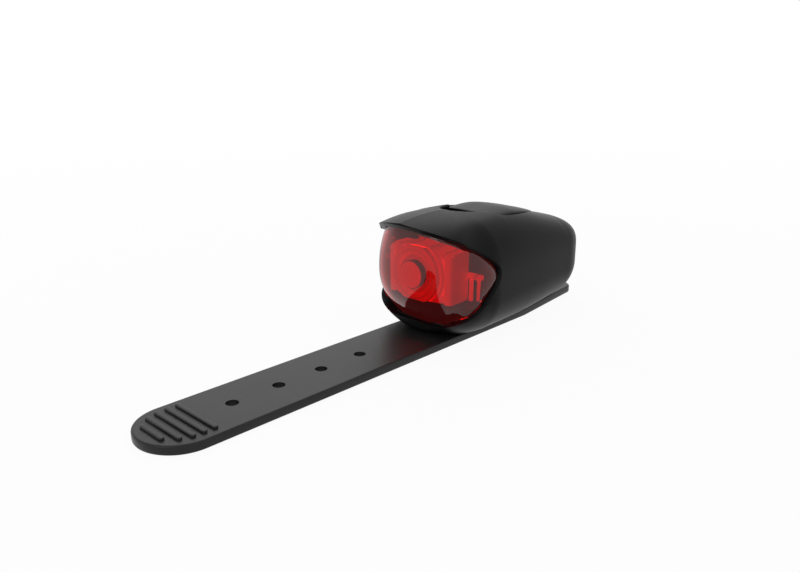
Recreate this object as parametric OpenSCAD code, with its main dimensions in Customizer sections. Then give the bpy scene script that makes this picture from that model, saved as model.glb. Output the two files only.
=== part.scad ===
// Bike rear light: a two-piece housing with a red eye-shaped lens, carried on a rubber strap.
// Origin on the strap's underside below the housing; the lens looks along -Y and +Z is up.

/* [Strap] */
// Width of the strap
strap_width = 15.5; // [13:0.5:18]
// Thickness of the strap
strap_thickness = 1.75; // [1.4:0.05:2.4]
// Distance from one strap hole to the next
hole_pitch = 10; // [9:0.25:12]
// Diameter of the strap holes
hole_diameter = 2.4; // [2:0.1:3]
// Distance from the origin forward to the first bend of the strap
anchor_setback = 8.25; // [7:0.25:10]
// How far the rear tab reaches past the housing
tab_reach = 1.9; // [1:0.1:5]
// How far behind the origin the rear tab starts to narrow
tab_taper_start = 2; // [0:0.5:6]
// Narrowing of the rear tab on each side
tab_taper = 2.15; // [0.5:0.05:3]
// Corner radius of the rear tab
tab_corner = 3; // [1:0.25:4.5]
// Distance between the grip bars near the tip
grip_pitch = 2; // [1.7:0.05:2.4]
// Width of a grip bar
grip_width = 1; // [0.5:0.05:1.2]
// Height of a grip bar
grip_height = 0.45; // [0.2:0.05:0.8]
// Distance from the strap's edge to the grip bars
grip_margin = 1.65; // [1:0.05:3]

/* [Housing] */
// Radius of the rounded front, seen from above
front_radius = 14.3; // [14:0.1:16]
// Radius of the rounded rear, seen from above
rear_radius = 11.6; // [11.2:0.1:13.5]
// Distance from the origin forward to the centre of the front
front_centre = 17.5; // [17:0.1:20]
// Distance from the origin back to the centre of the rear
rear_centre = 12.7; // [12:0.1:13]
// Height of the crown above the strap
body_height = 25.4; // [24.8:0.05:29]
// Fall of the crown from the front to the rear
crown_fall = 5.2; // [4:0.1:6.2]
// Height of the widest line above the strap, at the front
belt_front = 9; // [8.5:0.25:10]
// Height of the widest line above the strap, at the sides
belt_side = 8; // [7.5:0.25:9]
// Height of the widest line above the strap, at the rear
belt_rear = 10; // [9.5:0.25:11]
// How far the underside tucks in at the front
tuck_front = 8.3; // [8:0.1:8.8]
// How far the underside tucks in at the sides
tuck_side = 7.5; // [7:0.1:7.6]
// How far the underside tucks in at the rear
tuck_rear = 8; // [7.6:0.1:8.6]
// Height of the seam between the two shells above the strap
seam_height = 13.55; // [13.2:0.05:14.2]
// Wall thickness of the shells
wall = 1.5; // [1.2:0.05:1.7]
// Floor thickness of the lower shell
floor_thickness = 1.6; // [1.4:0.05:1.9]
// Drop of the visor's front edge below the crown
visor_drop = 1.55; // [0.8:0.05:2.5]
// Overhang of the visor past the front wall
visor_lip = 0.1; // [0.05:0.05:0.6]
// Thickness of the visor's lip
lip_thickness = 0.9; // [0.6:0.1:1.4]
// Distance from the centre of the front to the flat face of the chin
chin_reach = 9.6; // [9.2:0.1:10.4]

/* [Lens] */
// Angle from straight ahead to the lens corners
eye_angle = 89.5; // [86:0.5:90]
// Height of the lens opening's lowest point above the strap
chin_height = 3; // [2.8:0.1:4]
// Half height of the lens opening at its corners
corner_half = 1; // [0.7:0.1:1.2]
// Wall thickness of the lens
lens_wall = 1.2; // [1:0.1:1.3]
// Depth of the lens edge below the housing's surface
lens_recess = 1.4; // [1.2:0.05:1.5]
// Bulge of the lens in the middle of the opening
lens_bulge = 1.3; // [0.8:0.05:1.5]
// Width of the lens flange behind the housing wall
flange_width = 1; // [0.7:0.1:1.2]
// Thickness of the lens flange
flange_thickness = 1; // [0.7:0.1:1.3]
// Thickness of the lens gasket
gasket_thickness = 0.35; // [0.25:0.05:0.5]

/* [Optic] */
// Width of the optic block
optic_width = 20; // [17:0.2:20.4]
// Height of the optic block
optic_height = 10.4; // [9:0.2:11]
// Radius of the round collimator
collimator_radius = 6.2; // [5.4:0.1:6.4]
// Radius of the collimator's middle pillar
pillar_radius = 2.8; // [2.4:0.1:3]
// Width of an upright flute
flute_width = 2.3; // [1.8:0.1:2.4]
// Thickness of the side fins
fin_thickness = 1.2; // [0.8:0.1:1.8]

/* [Button] */
// Length of the button
button_length = 24.5; // [24:0.5:26]
// Width of the button
button_width = 14.4; // [13.4:0.2:15.4]
// How far the button stands above the crown
button_proud = 0.5; // [0.2:0.05:0.9]
// Gap between the button and its well
button_gap = 0.4; // [0.3:0.05:0.6]
// Length of the open well in front of the button
well_lead = 6; // [5:0.25:6.5]
// Depth of the button well
well_depth = 2.8; // [2.6:0.1:3]
// Travel of the button
button_travel = 0.6; // [0.3:0.05:0.7]
// Diameter of the button's stem
stem_diameter = 3; // [2.4:0.1:3.4]

/* [Electrics] */
// Diameter of a coin cell
cell_diameter = 20; // [16:0.1:20]
// Thickness of a coin cell
cell_thickness = 3.2; // [2.5:0.1:3.2]
// Wall thickness of the cell tray
tray_wall = 0.6; // [0.5:0.05:0.7]
// Thickness of the boards
board_thickness = 0.8; // [0.6:0.1:1]
// Side of the square switch body
switch_side = 6; // [5:0.1:6.4]
// Side of the square LED package
led_side = 3.5; // [2.8:0.1:4]

/* [Fasteners] */
// Shank diameter of the shell screw
shell_screw_diameter = 2; // [1.8:0.1:2.2]
// Shank diameter of the small screws
small_screw_diameter = 1.6; // [1.4:0.1:1.8]
// Neck diameter of the closing peg
peg_neck_diameter = 2.2; // [1.8:0.1:2.3]
// Head diameter of the closing peg
peg_head_diameter = 3.2; // [2.8:0.1:3.3]

/* [Hidden] */
$fn = 48;

// Clearances and small steps
eps = 0.01;
fit = 0.05;
slip = 0.1;
loose = 0.25;

// Strap layout
plain_links = 3;
hole_count = 4;
grip_count = 5;
link_count = plain_links + hole_count;
tip_centre_y = -(anchor_setback + (link_count + 0.5) * hole_pitch);
tab_end_half = strap_width / 2 - tab_taper;
tab_length = rear_centre + rear_radius + tab_reach;
peg_setback = 0.9;
peg_y = rear_centre + rear_radius - peg_setback;
peg_flange_radius = 2.2;
peg_flange_height = 0.6;
peg_play = 0.2;
peg_edge = 0.5;
peg_rim = 0.3;
peg_dome = 0.8;
stud_radius = 1.5;
stud_head_radius = 2.3;
stud_head_height = 1.4;
stud_lead = 4;
stud_pitch = 7;
stud_first_y = -anchor_setback + stud_lead;
stud_second_y = stud_first_y + stud_pitch;

// Housing levels
base_z = strap_thickness;
floor_z = base_z + floor_thickness;
seam_z = base_z + seam_height;
chin_z = base_z + chin_height;
brow_z = base_z + body_height - visor_drop;
roof = wall;
side_tilt = asin((front_radius - rear_radius) / (front_centre + rear_centre));
side_angle = 90 + side_tilt;
tuck_power = 1.9;
shoulder_drop = 2;
side_power = 2.9;
brow_power = 2.2;
brow_curve = 0.85;
chin_curve = 0.8;
chin_dip = 2.8;
corner_rise = 0.3;
bubble_power = 2.5;
bubble_reach = 1.3;
bulge_curve = 0.3;
brow_full_angle = 35;
brow_gone_angle = 100;
edge_blend_start = 80;
edge_blend_end = 105;
belt_band = 0.3;

// Seal strip in the seam, as depths below the housing's surface
seal_height = 0.7;
seal_outside = wall * 0.35;
seal_inside = wall * 0.7;

// Steps of the curved shells
front_steps = 12;
flank_steps = 5;
rear_steps = 9;
tuck_steps = 7;
crown_steps = 9;
crown_end = 0.08;
eye_steps = 26;
eye_rows = 8;
leaf_steps = 13;

// Lens layers, as depths below the housing's surface
gasket_front = wall + slip;
flange_front = gasket_front + gasket_thickness;
flange_back = flange_front + flange_thickness;
flange_extra_angle = 3;
seat_extra_angle = 0.5;
top_margin_share = 0.5;
cut_outside = 0.8;
cut_inside = 3;

// Button layout
button_overhang = 0.5;
button_rear_y = rear_centre + button_overhang;
button_front_y = button_rear_y - button_length;
wide_share = 0.26;
wide_y = button_front_y + wide_share * button_length;
well_front_y = button_front_y - well_lead;
well_rear_y = button_rear_y + button_gap;
well_half = button_width / 2 + button_gap;
well_wall = 1;
blunt_power = 2.5;
leaf_power = 1.7;
stem_share = 0.327;
stem_y = button_front_y + stem_share * button_length;
stem_radius = stem_diameter / 2;
button_edge_drop = 0.9;

// Electrics layout
cell_y = -6;
tray_radius = cell_diameter / 2 + slip + tray_wall;
contact_thickness = 0.2;
tray_floor = 0.6;
tray_standoff = 4.2;
tray_z = floor_z + tray_standoff;
tray_chamfer = 1.7;
cell_z = tray_z + tray_floor + contact_thickness;
cell_top_z = cell_z + 2 * cell_thickness;
contact_rise = 0.5;
board_z = cell_top_z + contact_rise;
board_top_z = board_z + board_thickness;
plunger_radius = 1.6;
plunger_proud = button_travel + fit;
led_board_gap = 0.9;
led_drop = 0.3;
led_board_y = cell_y - tray_radius - led_board_gap;
led_z = seam_z - led_drop;
led_front_y = led_board_y - board_thickness;
frame_depth = 1.8;
optic_back_y = led_front_y - frame_depth;
optic_depth = 3.4;
optic_fall = 5.4;
optic_front_y = optic_back_y - optic_depth;
optic_low_z = led_z - optic_fall;
barrel_reach = 2.6;
barrel_front_y = optic_front_y - barrel_reach;
barrel_step = 1.2;
barrel_flare = 0.9;
barrel_groove = 1.4;
groove_depth = 2;
pillar_reach = 2.4;
pillar_front_y = barrel_front_y - pillar_reach;
led_pocket = 1.6;
led_height = 1;
lug_x = 5.2;
lug_gap = 1.9;
lug_y = cell_y + tray_radius + lug_gap;
lug_radius = 1.7;
lug_rib = 0.6;
foot_x = 2.4;
foot_radius = 1.2;
foot_first_y = cell_y - cell_diameter / 4;
foot_second_y = (stud_first_y + stud_second_y) / 2;
tray_notch = 3;
board_rear_y = lug_y + lug_radius;
chip_half = 2.2;
chip_height = 1.5;
chip_y = cell_y - 0.6 * tray_radius;
resistor_count = 3;
resistor_length = 1.6;
resistor_pitch = 2.2;
resistor_x = -5.4;
resistor_y = board_rear_y - 5.6;
capacitor_x = 5.2;
capacitor_radius = 1.5;
capacitor_height = 2.2;
leaf_half = 3;
leaf_reach = 0.3 * cell_diameter;
strip_half = 2;
strip_front_y = cell_y - 3;
strip_rear_y = cell_y + 4;

// Fastener layout
small_radius = small_screw_diameter / 2;
small_head_radius = small_radius * 2;
small_head_height = 0.8;
shell_screw_radius = shell_screw_diameter / 2;
shell_head_radius = shell_screw_radius * 1.9;
shell_head_height = 1;
shell_boss_radius = shell_screw_radius + 1.1;
shell_screw_y = board_rear_y + shell_boss_radius + loose;
shell_screw_length = 8;
frame_post_x = 3;
frame_post_y = led_front_y - frame_depth / 2;
frame_post_radius = 1.6;
frame_screw_length = 4.5;
board_screw_length = 4;

function lerp(a, b, t) = a + (b - a) * t;
function ease(t) = let (c = min(max(t, 0), 1)) c * c * (3 - 2 * c);
function mirrored(half) = concat(half, [for (i = [len(half) - 1:-1:0]) [-half[i][0], half[i][1], half[i][2]]]);

// A closed skin over rings of points that run anticlockwise, seen from the last ring's side
module loft(rings) {
    m = len(rings[0]);
    last = len(rings) - 1;
    sides = [
        for (k = [0:last - 1], i = [0:m - 1])
            let (j = (i + 1) % m, a = k * m, b = (k + 1) * m)
            each [[a + i, b + i, b + j], [a + i, b + j, a + j]]
    ];
    caps = [
        for (i = [0:m / 2 - 2])
            let (p = m - 1 - i, e = last * m)
            each [
                [i, i + 1, p - 1], [i, p - 1, p],
                [e + i, e + p - 1, e + i + 1], [e + i, e + p, e + p - 1]
            ]
    ];
    polyhedron([for (r = rings) each r], concat(sides, caps), convexity = 8);
}

// The housing's outer form: each station is an angle from straight ahead and a share of the length
stations = concat(
    [for (i = [0:front_steps - 1]) [(i + 0.5) * side_angle / front_steps, 0]],
    [for (i = [0:flank_steps]) [side_angle, i / flank_steps]],
    [for (i = [0:rear_steps - 1]) [side_angle + (i + 0.5) * (180 - side_angle) / rear_steps, 1]]
);
function zone(th, front, side, rear) =
    let (c = cos(th) * cos(th)) th < 90 ? lerp(side, front, c) : lerp(side, rear, c);
function spine_y(s) = lerp(-front_centre, rear_centre, s);
function plan_radius(s) = lerp(front_radius, rear_radius, s);
function belt_z(th) = base_z + zone(th, belt_front, belt_side, belt_rear);
function tuck(th) = zone(th, tuck_front, tuck_side, tuck_rear);
function crown_z(s) = base_z + body_height - crown_fall * s * s;
function brow_share(th) = 1 - ease((th - brow_full_angle) / (brow_gone_angle - brow_full_angle));
function eye_share(th) = max(cos(min(th / eye_angle, 1) * 90), 0);
function eye_top(th) =
    lerp(seam_z + corner_rise + corner_half, brow_z - lip_thickness, pow(eye_share(th), brow_curve));
function eye_low(th) =
    max(lerp(seam_z + corner_rise - corner_half, chin_z - chin_dip, pow(eye_share(th), chin_curve)), chin_z);
function shoulder_z(th) =
    base_z + zone(th, seam_height - shoulder_drop, seam_height - shoulder_drop, seam_height);
function brow_edge(th) =
    let (t = ease((th - edge_blend_start) / (edge_blend_end - edge_blend_start)))
    lerp(eye_top(th) + lip_thickness, shoulder_z(th), t);
function crown_power(th) = lerp(side_power, brow_power, brow_share(th));
function crown_level(th, s, g) =
    let (p = crown_power(th), k = brow_share(th), e = brow_edge(th))
    e + (crown_z(s) - e) * pow(max(1 - pow(g, p), 0), lerp(1 / p, 1, k));
function place(th, s, r, z) = [r * sin(th), spine_y(s) - r * cos(th), z];

// The outline of the base
function base_ring(inset, z) = mirrored([
    for (st = stations) place(st[0], st[1], plan_radius(st[1]) - inset - tuck(st[0]), z)
]);
// One ring of the lower part, from the base (a = 0) up to the widest line (a = 90)
function tuck_ring(a, inset, low_z) = mirrored([
    for (st = stations)
        let (th = st[0], r = plan_radius(st[1]) - inset, b = belt_z(th))
        place(th, st[1], r - tuck(th) * (1 - pow(sin(a), 2 / tuck_power)),
            b - (b - low_z) * pow(cos(a), 2 / tuck_power))
]);
// One ring of the upright front wall just below the visor's lip
function brow_ring(inset, below, band, out) = mirrored([
    for (st = stations)
        let (th = st[0], k = brow_share(th))
        place(th, st[1], plan_radius(st[1]) - inset + out * k, brow_edge(th) - lerp(band, below, k))
]);
// One ring of the crown, where g runs from 1 at its edge to 0 at the middle
function crown_ring(g, inset, lip, drop) = mirrored([
    for (st = stations)
        let (th = st[0], r = plan_radius(st[1]) - inset + lip * brow_share(th))
        place(th, st[1], r * g, crown_level(th, st[1], g) - drop)
]);
function crown_share(i) = sin(lerp(90, asin(crown_end), i / crown_steps));

module housing_form() {
    loft(concat(
        [base_ring(0, base_z - 1)],
        [for (i = [0:tuck_steps]) tuck_ring(90 * i / tuck_steps, 0, base_z)],
        [brow_ring(0, lip_thickness, belt_band * 0.67, 0)],
        [brow_ring(0, lip_thickness * 0.7, belt_band * 0.33, visor_lip)],
        [for (i = [0:crown_steps]) crown_ring(crown_share(i), 0, visor_lip, 0)]
    ));
}

module housing_hollow() {
    loft(concat(
        [base_ring(wall, floor_z - 1)],
        [for (i = [0:tuck_steps]) tuck_ring(90 * i / tuck_steps, wall, floor_z)],
        [brow_ring(wall, lip_thickness + roof, belt_band * 0.5, 0)],
        [for (i = [1:crown_steps]) crown_ring(crown_share(i), wall, 0, roof)]
    ));
}

// Height of the crown over a point of the plan
function crown_at(x, y) =
    let (
        r = abs(x) / cos(side_tilt),
        s = (y - r * sin(side_tilt) + front_centre) / (front_centre + rear_centre),
        c = min(max(s, 0), 1),
        dy = y - spine_y(c),
        end = s < 0 || s > 1,
        th = end ? atan2(abs(x), -dy) : side_angle,
        rho = end ? norm([x, dy]) : r
    )
    crown_level(th, c, min(rho / plan_radius(c), 1));

// A leaf-shaped outline seen from above, blunt in front of its widest place and pointed behind it
function leaf_ring(front_y, rear_y, half, height) = mirrored([
    for (i = [0:leaf_steps - 1])
        let (
            f = (i + 0.5) * 180 / leaf_steps,
            c = cos(f),
            y = wide_y - c * (c > 0 ? wide_y - front_y : rear_y - wide_y),
            x = half * (c > 0 ? pow(1 - pow(c, blunt_power), 1 / blunt_power) : pow(sin(f), leaf_power))
        )
        [x, y, height(x, y)]
]);

module leaf_column(front_y, rear_y, half, low, high) {
    loft([leaf_ring(front_y, rear_y, half, low), leaf_ring(front_y, rear_y, half, high)]);
}

module button_well() {
    leaf_column(well_front_y, well_rear_y, well_half,
        function(x, y) crown_at(0, y) - well_depth,
        function(x, y) crown_at(0, y) + well_depth);
}

module well_jacket() {
    leaf_column(well_front_y - well_wall, well_rear_y + well_wall, well_half + well_wall,
        function(x, y) crown_at(0, y) - well_depth - well_wall,
        function(x, y) crown_at(0, y) - roof / 2);
}

// A curved slab that follows the lens opening: margin widens it, depths are below the surface
function skin_radius(th, z) =
    let (b = belt_z(th), t = min(max((b - z) / (b - base_z), 0), 1))
    front_radius - tuck(th) * (1 - pow(1 - pow(t, tuck_power), 1 / tuck_power));
function chin_radius(th) =
    min(skin_radius(th, eye_low(th)), chin_reach / max(cos(th), chin_reach / front_radius));
function front_wall(th, z) =
    let (u = min(max((seam_z - z) / (seam_z - eye_low(th)), 0), bubble_reach))
    lerp(front_radius, chin_radius(th), pow(u, bubble_power));
function eye_step(u) = lerp(u, sin(90 * u), 0.4);
function eye_point(th, z, depth) = place(th, 0, front_wall(abs(th), z) - depth, z);
module eye_slab(margin, extra_angle, front_depth, back_depth, bulge) {
    reach = eye_angle + extra_angle;
    inner = [for (i = [1:eye_steps - 1]) eye_angle * eye_step(lerp(-1, 1, i / eye_steps))];
    corners = extra_angle > 1 ? [eye_angle, reach] : [reach];
    angles = concat(
        [for (i = [len(corners) - 1:-1:0]) -corners[i]],
        [for (th = inner) if (abs(th) < reach - 0.5) th],
        corners
    );
    loft([
        for (th = angles)
            let (
                t = abs(th) == reach && abs(extra_angle) < 1 ? eye_angle : abs(th),
                low = eye_low(t) - margin,
                high = eye_top(t) + min(margin, margin * top_margin_share)
            )
            concat(
                [for (j = [0:eye_rows])
                    eye_point(th, lerp(low, high, j / eye_rows), back_depth)],
                [for (j = [eye_rows:-1:0])
                    let (t = j / eye_rows)
                    eye_point(th, lerp(low, high, t),
                        front_depth - bulge * 4 * t * (1 - t) * pow(eye_share(abs(th)), bulge_curve))]
            )
    ]);
}

// The lens opening and the seat behind it for the lens flange and its gasket
module eye_opening() {
    eye_slab(0, 0, -cut_outside, cut_inside, 0);
    eye_slab(flange_width + slip, flange_extra_angle + seat_extra_angle, gasket_front, flange_back + slip, 0);
}

// Everything in front of the chin's upright plane, up to a level
module chin_front(inset, level) {
    face_y = -front_centre - chin_reach + inset;
    block(-front_radius, front_radius, -2 * front_centre, face_y, base_z - 1, level);
}

// A round bar along Y
module y_bar(x, z, y0, y1, r) {
    translate([x, y1, z]) rotate([90, 0, 0]) cylinder(h = y1 - y0, r = r);
}

module z_bar(x, y, z0, z1, r) {
    translate([x, y, z0]) cylinder(h = z1 - z0, r = r);
}

module block(x0, x1, y0, y1, z0, z1) {
    translate([x0, y0, z0]) cube([x1 - x0, y1 - y0, z1 - z0]);
}

// Everything around the housing from one level to another
module slab(z0, z1) {
    block(-front_radius * 2, front_radius * 2, -front_centre * 3, rear_centre * 3, z0, z1);
}

function seal_point(th, s, depth, z) = place(th, s, plan_radius(s) - depth, z);
module seam_strip(low, high) {
    path = [for (st = stations) if (st[1] > 0) st];
    whole = concat(path, [for (i = [len(path) - 1:-1:0]) [360 - path[i][0], path[i][1]]]);
    loft([
        for (st = whole)
            [
                seal_point(st[0], st[1], seal_outside, low), seal_point(st[0], st[1], seal_inside, low),
                seal_point(st[0], st[1], seal_inside, high), seal_point(st[0], st[1], seal_outside, high)
            ]
    ]);
}

module upper_shell() {
    color([0.16, 0.16, 0.165])
    difference() {
        union() {
            difference() {
                intersection() {
                    housing_form();
                    slab(seam_z, seam_z + 2 * body_height);
                }
                difference() {
                    housing_hollow();
                    well_jacket();
                }
            }
            z_bar(0, shell_screw_y, floor_z, crown_at(0, shell_screw_y) - well_depth - well_wall / 2,
                shell_boss_radius);
            z_bar(0, stem_y, stem_boss_z, crown_at(0, stem_y) - well_depth - well_wall / 2,
                stem_boss_radius);
        }
        eye_opening();
        button_well();
        z_bar(0, stem_y, seam_z, seam_z + body_height, stem_radius + fit);
        z_bar(0, shell_screw_y, floor_z - eps, base_z + shell_screw_length + 1, shell_screw_radius);
    }
}

module lower_shell() {
    color([0.16, 0.16, 0.165])
    difference() {
        intersection() {
            housing_form();
            slab(base_z, seam_z);
        }
        difference() {
            intersection() {
                housing_hollow();
                slab(floor_z, seam_z + 1);
            }
            chin_front(wall, chin_z + slip);
        }
        chin_front(0, belt_z(0));
        eye_opening();
        seam_strip(seam_z - seal_height, seam_z + 1);
        screw_well(0, shell_screw_y, shell_screw_radius, shell_head_radius, shell_head_height);
        for (side = [-1, 1])
            screw_well(side * frame_post_x, frame_post_y, small_radius, small_head_radius, small_head_height);
        for (y = [stud_first_y, stud_second_y])
            z_bar(0, y, base_z - 1, floor_z + 1, stud_radius);
    }
}

// Clearance hole and sunk head for a screw that goes up through the floor
module screw_well(x, y, shank, head, head_height) {
    z_bar(x, y, base_z - 1, floor_z + 1, shank + slip);
    z_bar(x, y, base_z - 1, base_z + head_height, head + slip);
}

module seam_seal() {
    color([0.1, 0.1, 0.1])
    seam_strip(seam_z - seal_height, seam_z);
}

// A screw pointing up, with a cross cut in its head
module screw(x, y, z, shank, head, head_height, length) {
    translate([x, y, z])
    difference() {
        union() {
            cylinder(h = head_height, r = head);
            cylinder(h = length, r = shank);
        }
        for (turn = [0, 90])
            rotate([0, 0, turn])
            block(-head * 0.65, head * 0.65, -head * 0.14, head * 0.14, -eps, head_height * 0.5);
    }
}

module shell_screw() {
    color([0.7, 0.7, 0.72])
    screw(0, shell_screw_y, base_z, shell_screw_radius, shell_head_radius, shell_head_height - fit,
        shell_screw_length);
}

module lens() {
    color([0.75, 0.05, 0.06, 0.7])
    difference() {
        union() {
            eye_slab(-slip, -slip, lens_recess, flange_back, lens_bulge);
            eye_slab(flange_width, flange_extra_angle, flange_front, flange_back, 0);
        }
        eye_slab(-slip - lens_wall, -lens_wall * 5, lens_recess + lens_wall, flange_back + 1, lens_bulge);
    }
}

module lens_gasket() {
    color([0.08, 0.08, 0.08])
    difference() {
        eye_slab(flange_width, flange_extra_angle, gasket_front, flange_front, 0);
        eye_slab(slip, slip, 0, flange_back, 0);
    }
}

// Collimator, fluted block and side fins, moulded as one
module optic() {
    half = optic_width / 2;
    high_z = optic_low_z + optic_height;
    flutes = floor((half - pillar_radius) / flute_width);
    fin_radius = front_radius - lens_recess - lens_wall - loose;
    color([0.85, 0.1, 0.1])
    difference() {
        union() {
            intersection() {
                union() {
                    block(-half, half, optic_front_y + flute_width / 2, optic_back_y, optic_low_z, high_z);
                    for (side = [-1, 1], i = [0:flutes - 1])
                        z_bar(side * (half - (i + 0.5) * flute_width), optic_front_y + flute_width / 2,
                            optic_low_z, high_z, flute_width / 2);
                }
                z_bar(0, -front_centre, optic_low_z, high_z, front_radius - flange_back - 2 * loose);
            }
            intersection() {
                union() {
                    y_bar(0, led_z, barrel_front_y, optic_back_y, collimator_radius);
                    y_bar(0, led_z, barrel_front_y + barrel_step, optic_back_y,
                        collimator_radius + barrel_flare);
                }
                block(-half, half, barrel_front_y, optic_back_y, optic_low_z, high_z);
            }
            y_bar(0, led_z, pillar_front_y, optic_back_y, pillar_radius);
            intersection() {
                z_bar(0, -front_centre, led_z - fin_thickness / 2, led_z + fin_thickness / 2, fin_radius);
                for (side = [-1, 1])
                    translate([side * half, 0, 0])
                    block(-half / 2, half / 2, optic_front_y + flute_width, optic_back_y, 0, 2 * led_z);
            }
        }
        difference() {
            y_bar(0, led_z, pillar_front_y - 1, barrel_front_y + groove_depth, pillar_radius + barrel_groove);
            y_bar(0, led_z, pillar_front_y - 2, barrel_front_y + 2 * groove_depth, pillar_radius);
        }
        y_bar(0, led_z, optic_back_y - led_pocket, optic_back_y + 1, led_side / 2);
    }
}

// Black frame between the optic and the LED board, on two posts
module optic_frame() {
    half = optic_width / 2 - 1;
    color([0.06, 0.06, 0.06])
    difference() {
        union() {
            block(-half, half, optic_back_y, led_front_y, optic_low_z, optic_low_z + optic_height);
            for (side = [-1, 1])
                z_bar(side * frame_post_x, frame_post_y, floor_z, optic_low_z + 1, frame_post_radius);
        }
        block(-led_side, led_side, optic_back_y - 1, led_front_y + 1, led_z - led_side, led_z + led_side);
        for (side = [-1, 1])
            z_bar(side * frame_post_x, frame_post_y, floor_z - eps, base_z + frame_screw_length + 0.5,
                small_radius);
        block(-half, half, led_front_y, led_front_y + frame_post_radius, floor_z - eps, optic_low_z + 2);
        block(-half, half, optic_back_y - frame_post_radius, optic_back_y,
            optic_low_z - slip, optic_low_z + 2);
    }
}

module frame_screws() {
    color([0.7, 0.7, 0.72])
    for (side = [-1, 1])
        screw(side * frame_post_x, frame_post_y, base_z, small_radius, small_head_radius,
            small_head_height - fit, frame_screw_length);
}

module led() {
    color([0.95, 0.85, 0.7])
    union() {
        block(-led_side / 2, led_side / 2, led_front_y - led_height, led_front_y, led_z - led_side / 2,
            led_z + led_side / 2);
        intersection() {
            translate([0, led_front_y - led_height, led_z]) sphere(r = led_side * 0.42);
            block(-led_side, led_side, led_front_y - led_side, led_front_y - led_height / 2, led_z - led_side,
                led_z + led_side);
        }
    }
}

module led_board() {
    half = optic_width / 2 - 3;
    color([0.1, 0.35, 0.2])
    block(-half, half, led_front_y, led_board_y, optic_low_z + 1, optic_low_z + optic_height - 0.5);
}

// Main board on the tray's rim, its front edge against the LED board
module main_board() {
    half = tray_radius - 2.2;
    color([0.1, 0.35, 0.2])
    difference() {
        block(-half, half, led_board_y, board_rear_y, board_z, board_top_z);
        for (side = [-1, 1])
            z_bar(side * lug_x, lug_y, board_z - 1, board_top_z + 1, small_radius + slip);
    }
}

// Control chip, resistors and a capacitor on the main board
module board_parts() {
    color([0.12, 0.12, 0.13]) {
        block(-chip_half, chip_half, chip_y - chip_half, chip_y + chip_half, board_top_z,
            board_top_z + chip_height);
        for (i = [0:resistor_count - 1])
            block(resistor_x + i * resistor_pitch, resistor_x + i * resistor_pitch + resistor_length,
                resistor_y, resistor_y + resistor_length / 2, board_top_z, board_top_z + resistor_length / 3);
        z_bar(capacitor_x, chip_y, board_top_z, board_top_z + capacitor_height, capacitor_radius);
    }
}

module board_screws() {
    color([0.7, 0.7, 0.72])
    for (side = [-1, 1])
        translate([side * lug_x, lug_y, board_top_z + small_head_height])
        rotate([180, 0, 0])
        screw(0, 0, 0, small_radius, small_head_radius, small_head_height,
            board_screw_length + small_head_height);
}

module switch_body() {
    half = switch_side / 2;
    color([0.1, 0.1, 0.1])
    difference() {
        block(-half, half, stem_y - half, stem_y + half, board_top_z, switch_top_z);
        z_bar(0, stem_y, switch_top_z - plunger_sunk - plunger_proud, switch_top_z + 1, plunger_radius + fit);
    }
}

module switch_plunger() {
    color([0.85, 0.85, 0.8])
    z_bar(0, stem_y, switch_top_z - plunger_sunk, stem_low_z, plunger_radius);
}

// Domed pad in the crown's own curve, on a round stem
module button() {
    half = button_width / 2;
    lift = button_travel + loose;
    under = function(x, y) crown_at(0, y) - well_depth + lift;
    rim = function(x, y) crown_at(x, y) + button_proud - button_edge_drop;
    rings = [[1, 0], [0.97, 0.45], [0.88, 0.75], [0.7, 0.92], [0.45, 0.98], [0.15, 1]];
    color([0.2, 0.2, 0.205])
    difference() {
        union() {
            loft(concat(
                [leaf_ring(button_front_y, button_rear_y, half, under)],
                [for (r = rings)
                    leaf_ring(lerp(wide_y, button_front_y, r[0]), lerp(wide_y, button_rear_y, r[0]),
                        half * r[0],
                        function(x, y) rim(x, y) + button_edge_drop * r[1])]
            ));
            z_bar(0, stem_y, stem_low_z, crown_at(0, stem_y) - 0.8, stem_radius);
        }
        clip_groove(fit);
        difference() {
            z_bar(0, stem_y, seal_z - fit, seal_z + seal_size + fit, stem_radius + 1);
            z_bar(0, stem_y, seal_z - 1, seal_z + seal_size + 1, seal_inner);
        }
    }
}

// Seal ring and clip on the stem, in grooves of their own
seal_size = 0.7;
seal_inner = stem_radius - 0.4;
stem_boss_height = 0.45;
stem_boss_radius = stem_radius + 1.3;
stem_boss_z = crown_at(0, stem_y) - well_depth - well_wall - stem_boss_height;
seal_z = stem_boss_z + 0.5;
clip_height = 0.4;
clip_outer = stem_radius + 1;
clip_inner = stem_radius - 0.45;
clip_z = stem_boss_z - clip_height;
switch_top_z = clip_z - button_travel - loose - plunger_proud;
stem_low_z = switch_top_z + plunger_proud;
plunger_sunk = (switch_top_z - board_top_z) * 0.3;

module clip_groove(play) {
    difference() {
        z_bar(0, stem_y, clip_z - play, clip_z + clip_height + play, stem_radius + 1);
        z_bar(0, stem_y, clip_z - 1, clip_z + clip_height + 1, clip_inner);
    }
}

module button_seal() {
    color([0.07, 0.07, 0.07])
    difference() {
        z_bar(0, stem_y, seal_z, seal_z + seal_size, stem_radius);
        z_bar(0, stem_y, seal_z - 1, seal_z + seal_size + 1, seal_inner);
    }
}

module button_clip() {
    color([0.75, 0.75, 0.77])
    difference() {
        z_bar(0, stem_y, clip_z, clip_z + clip_height, clip_outer);
        z_bar(0, stem_y, clip_z - 1, clip_z + clip_height + 1, clip_inner);
        block(-clip_inner * 0.8, clip_inner * 0.8, stem_y, stem_y + clip_outer + 1, clip_z - 1,
            clip_z + clip_height + 1);
    }
}

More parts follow.
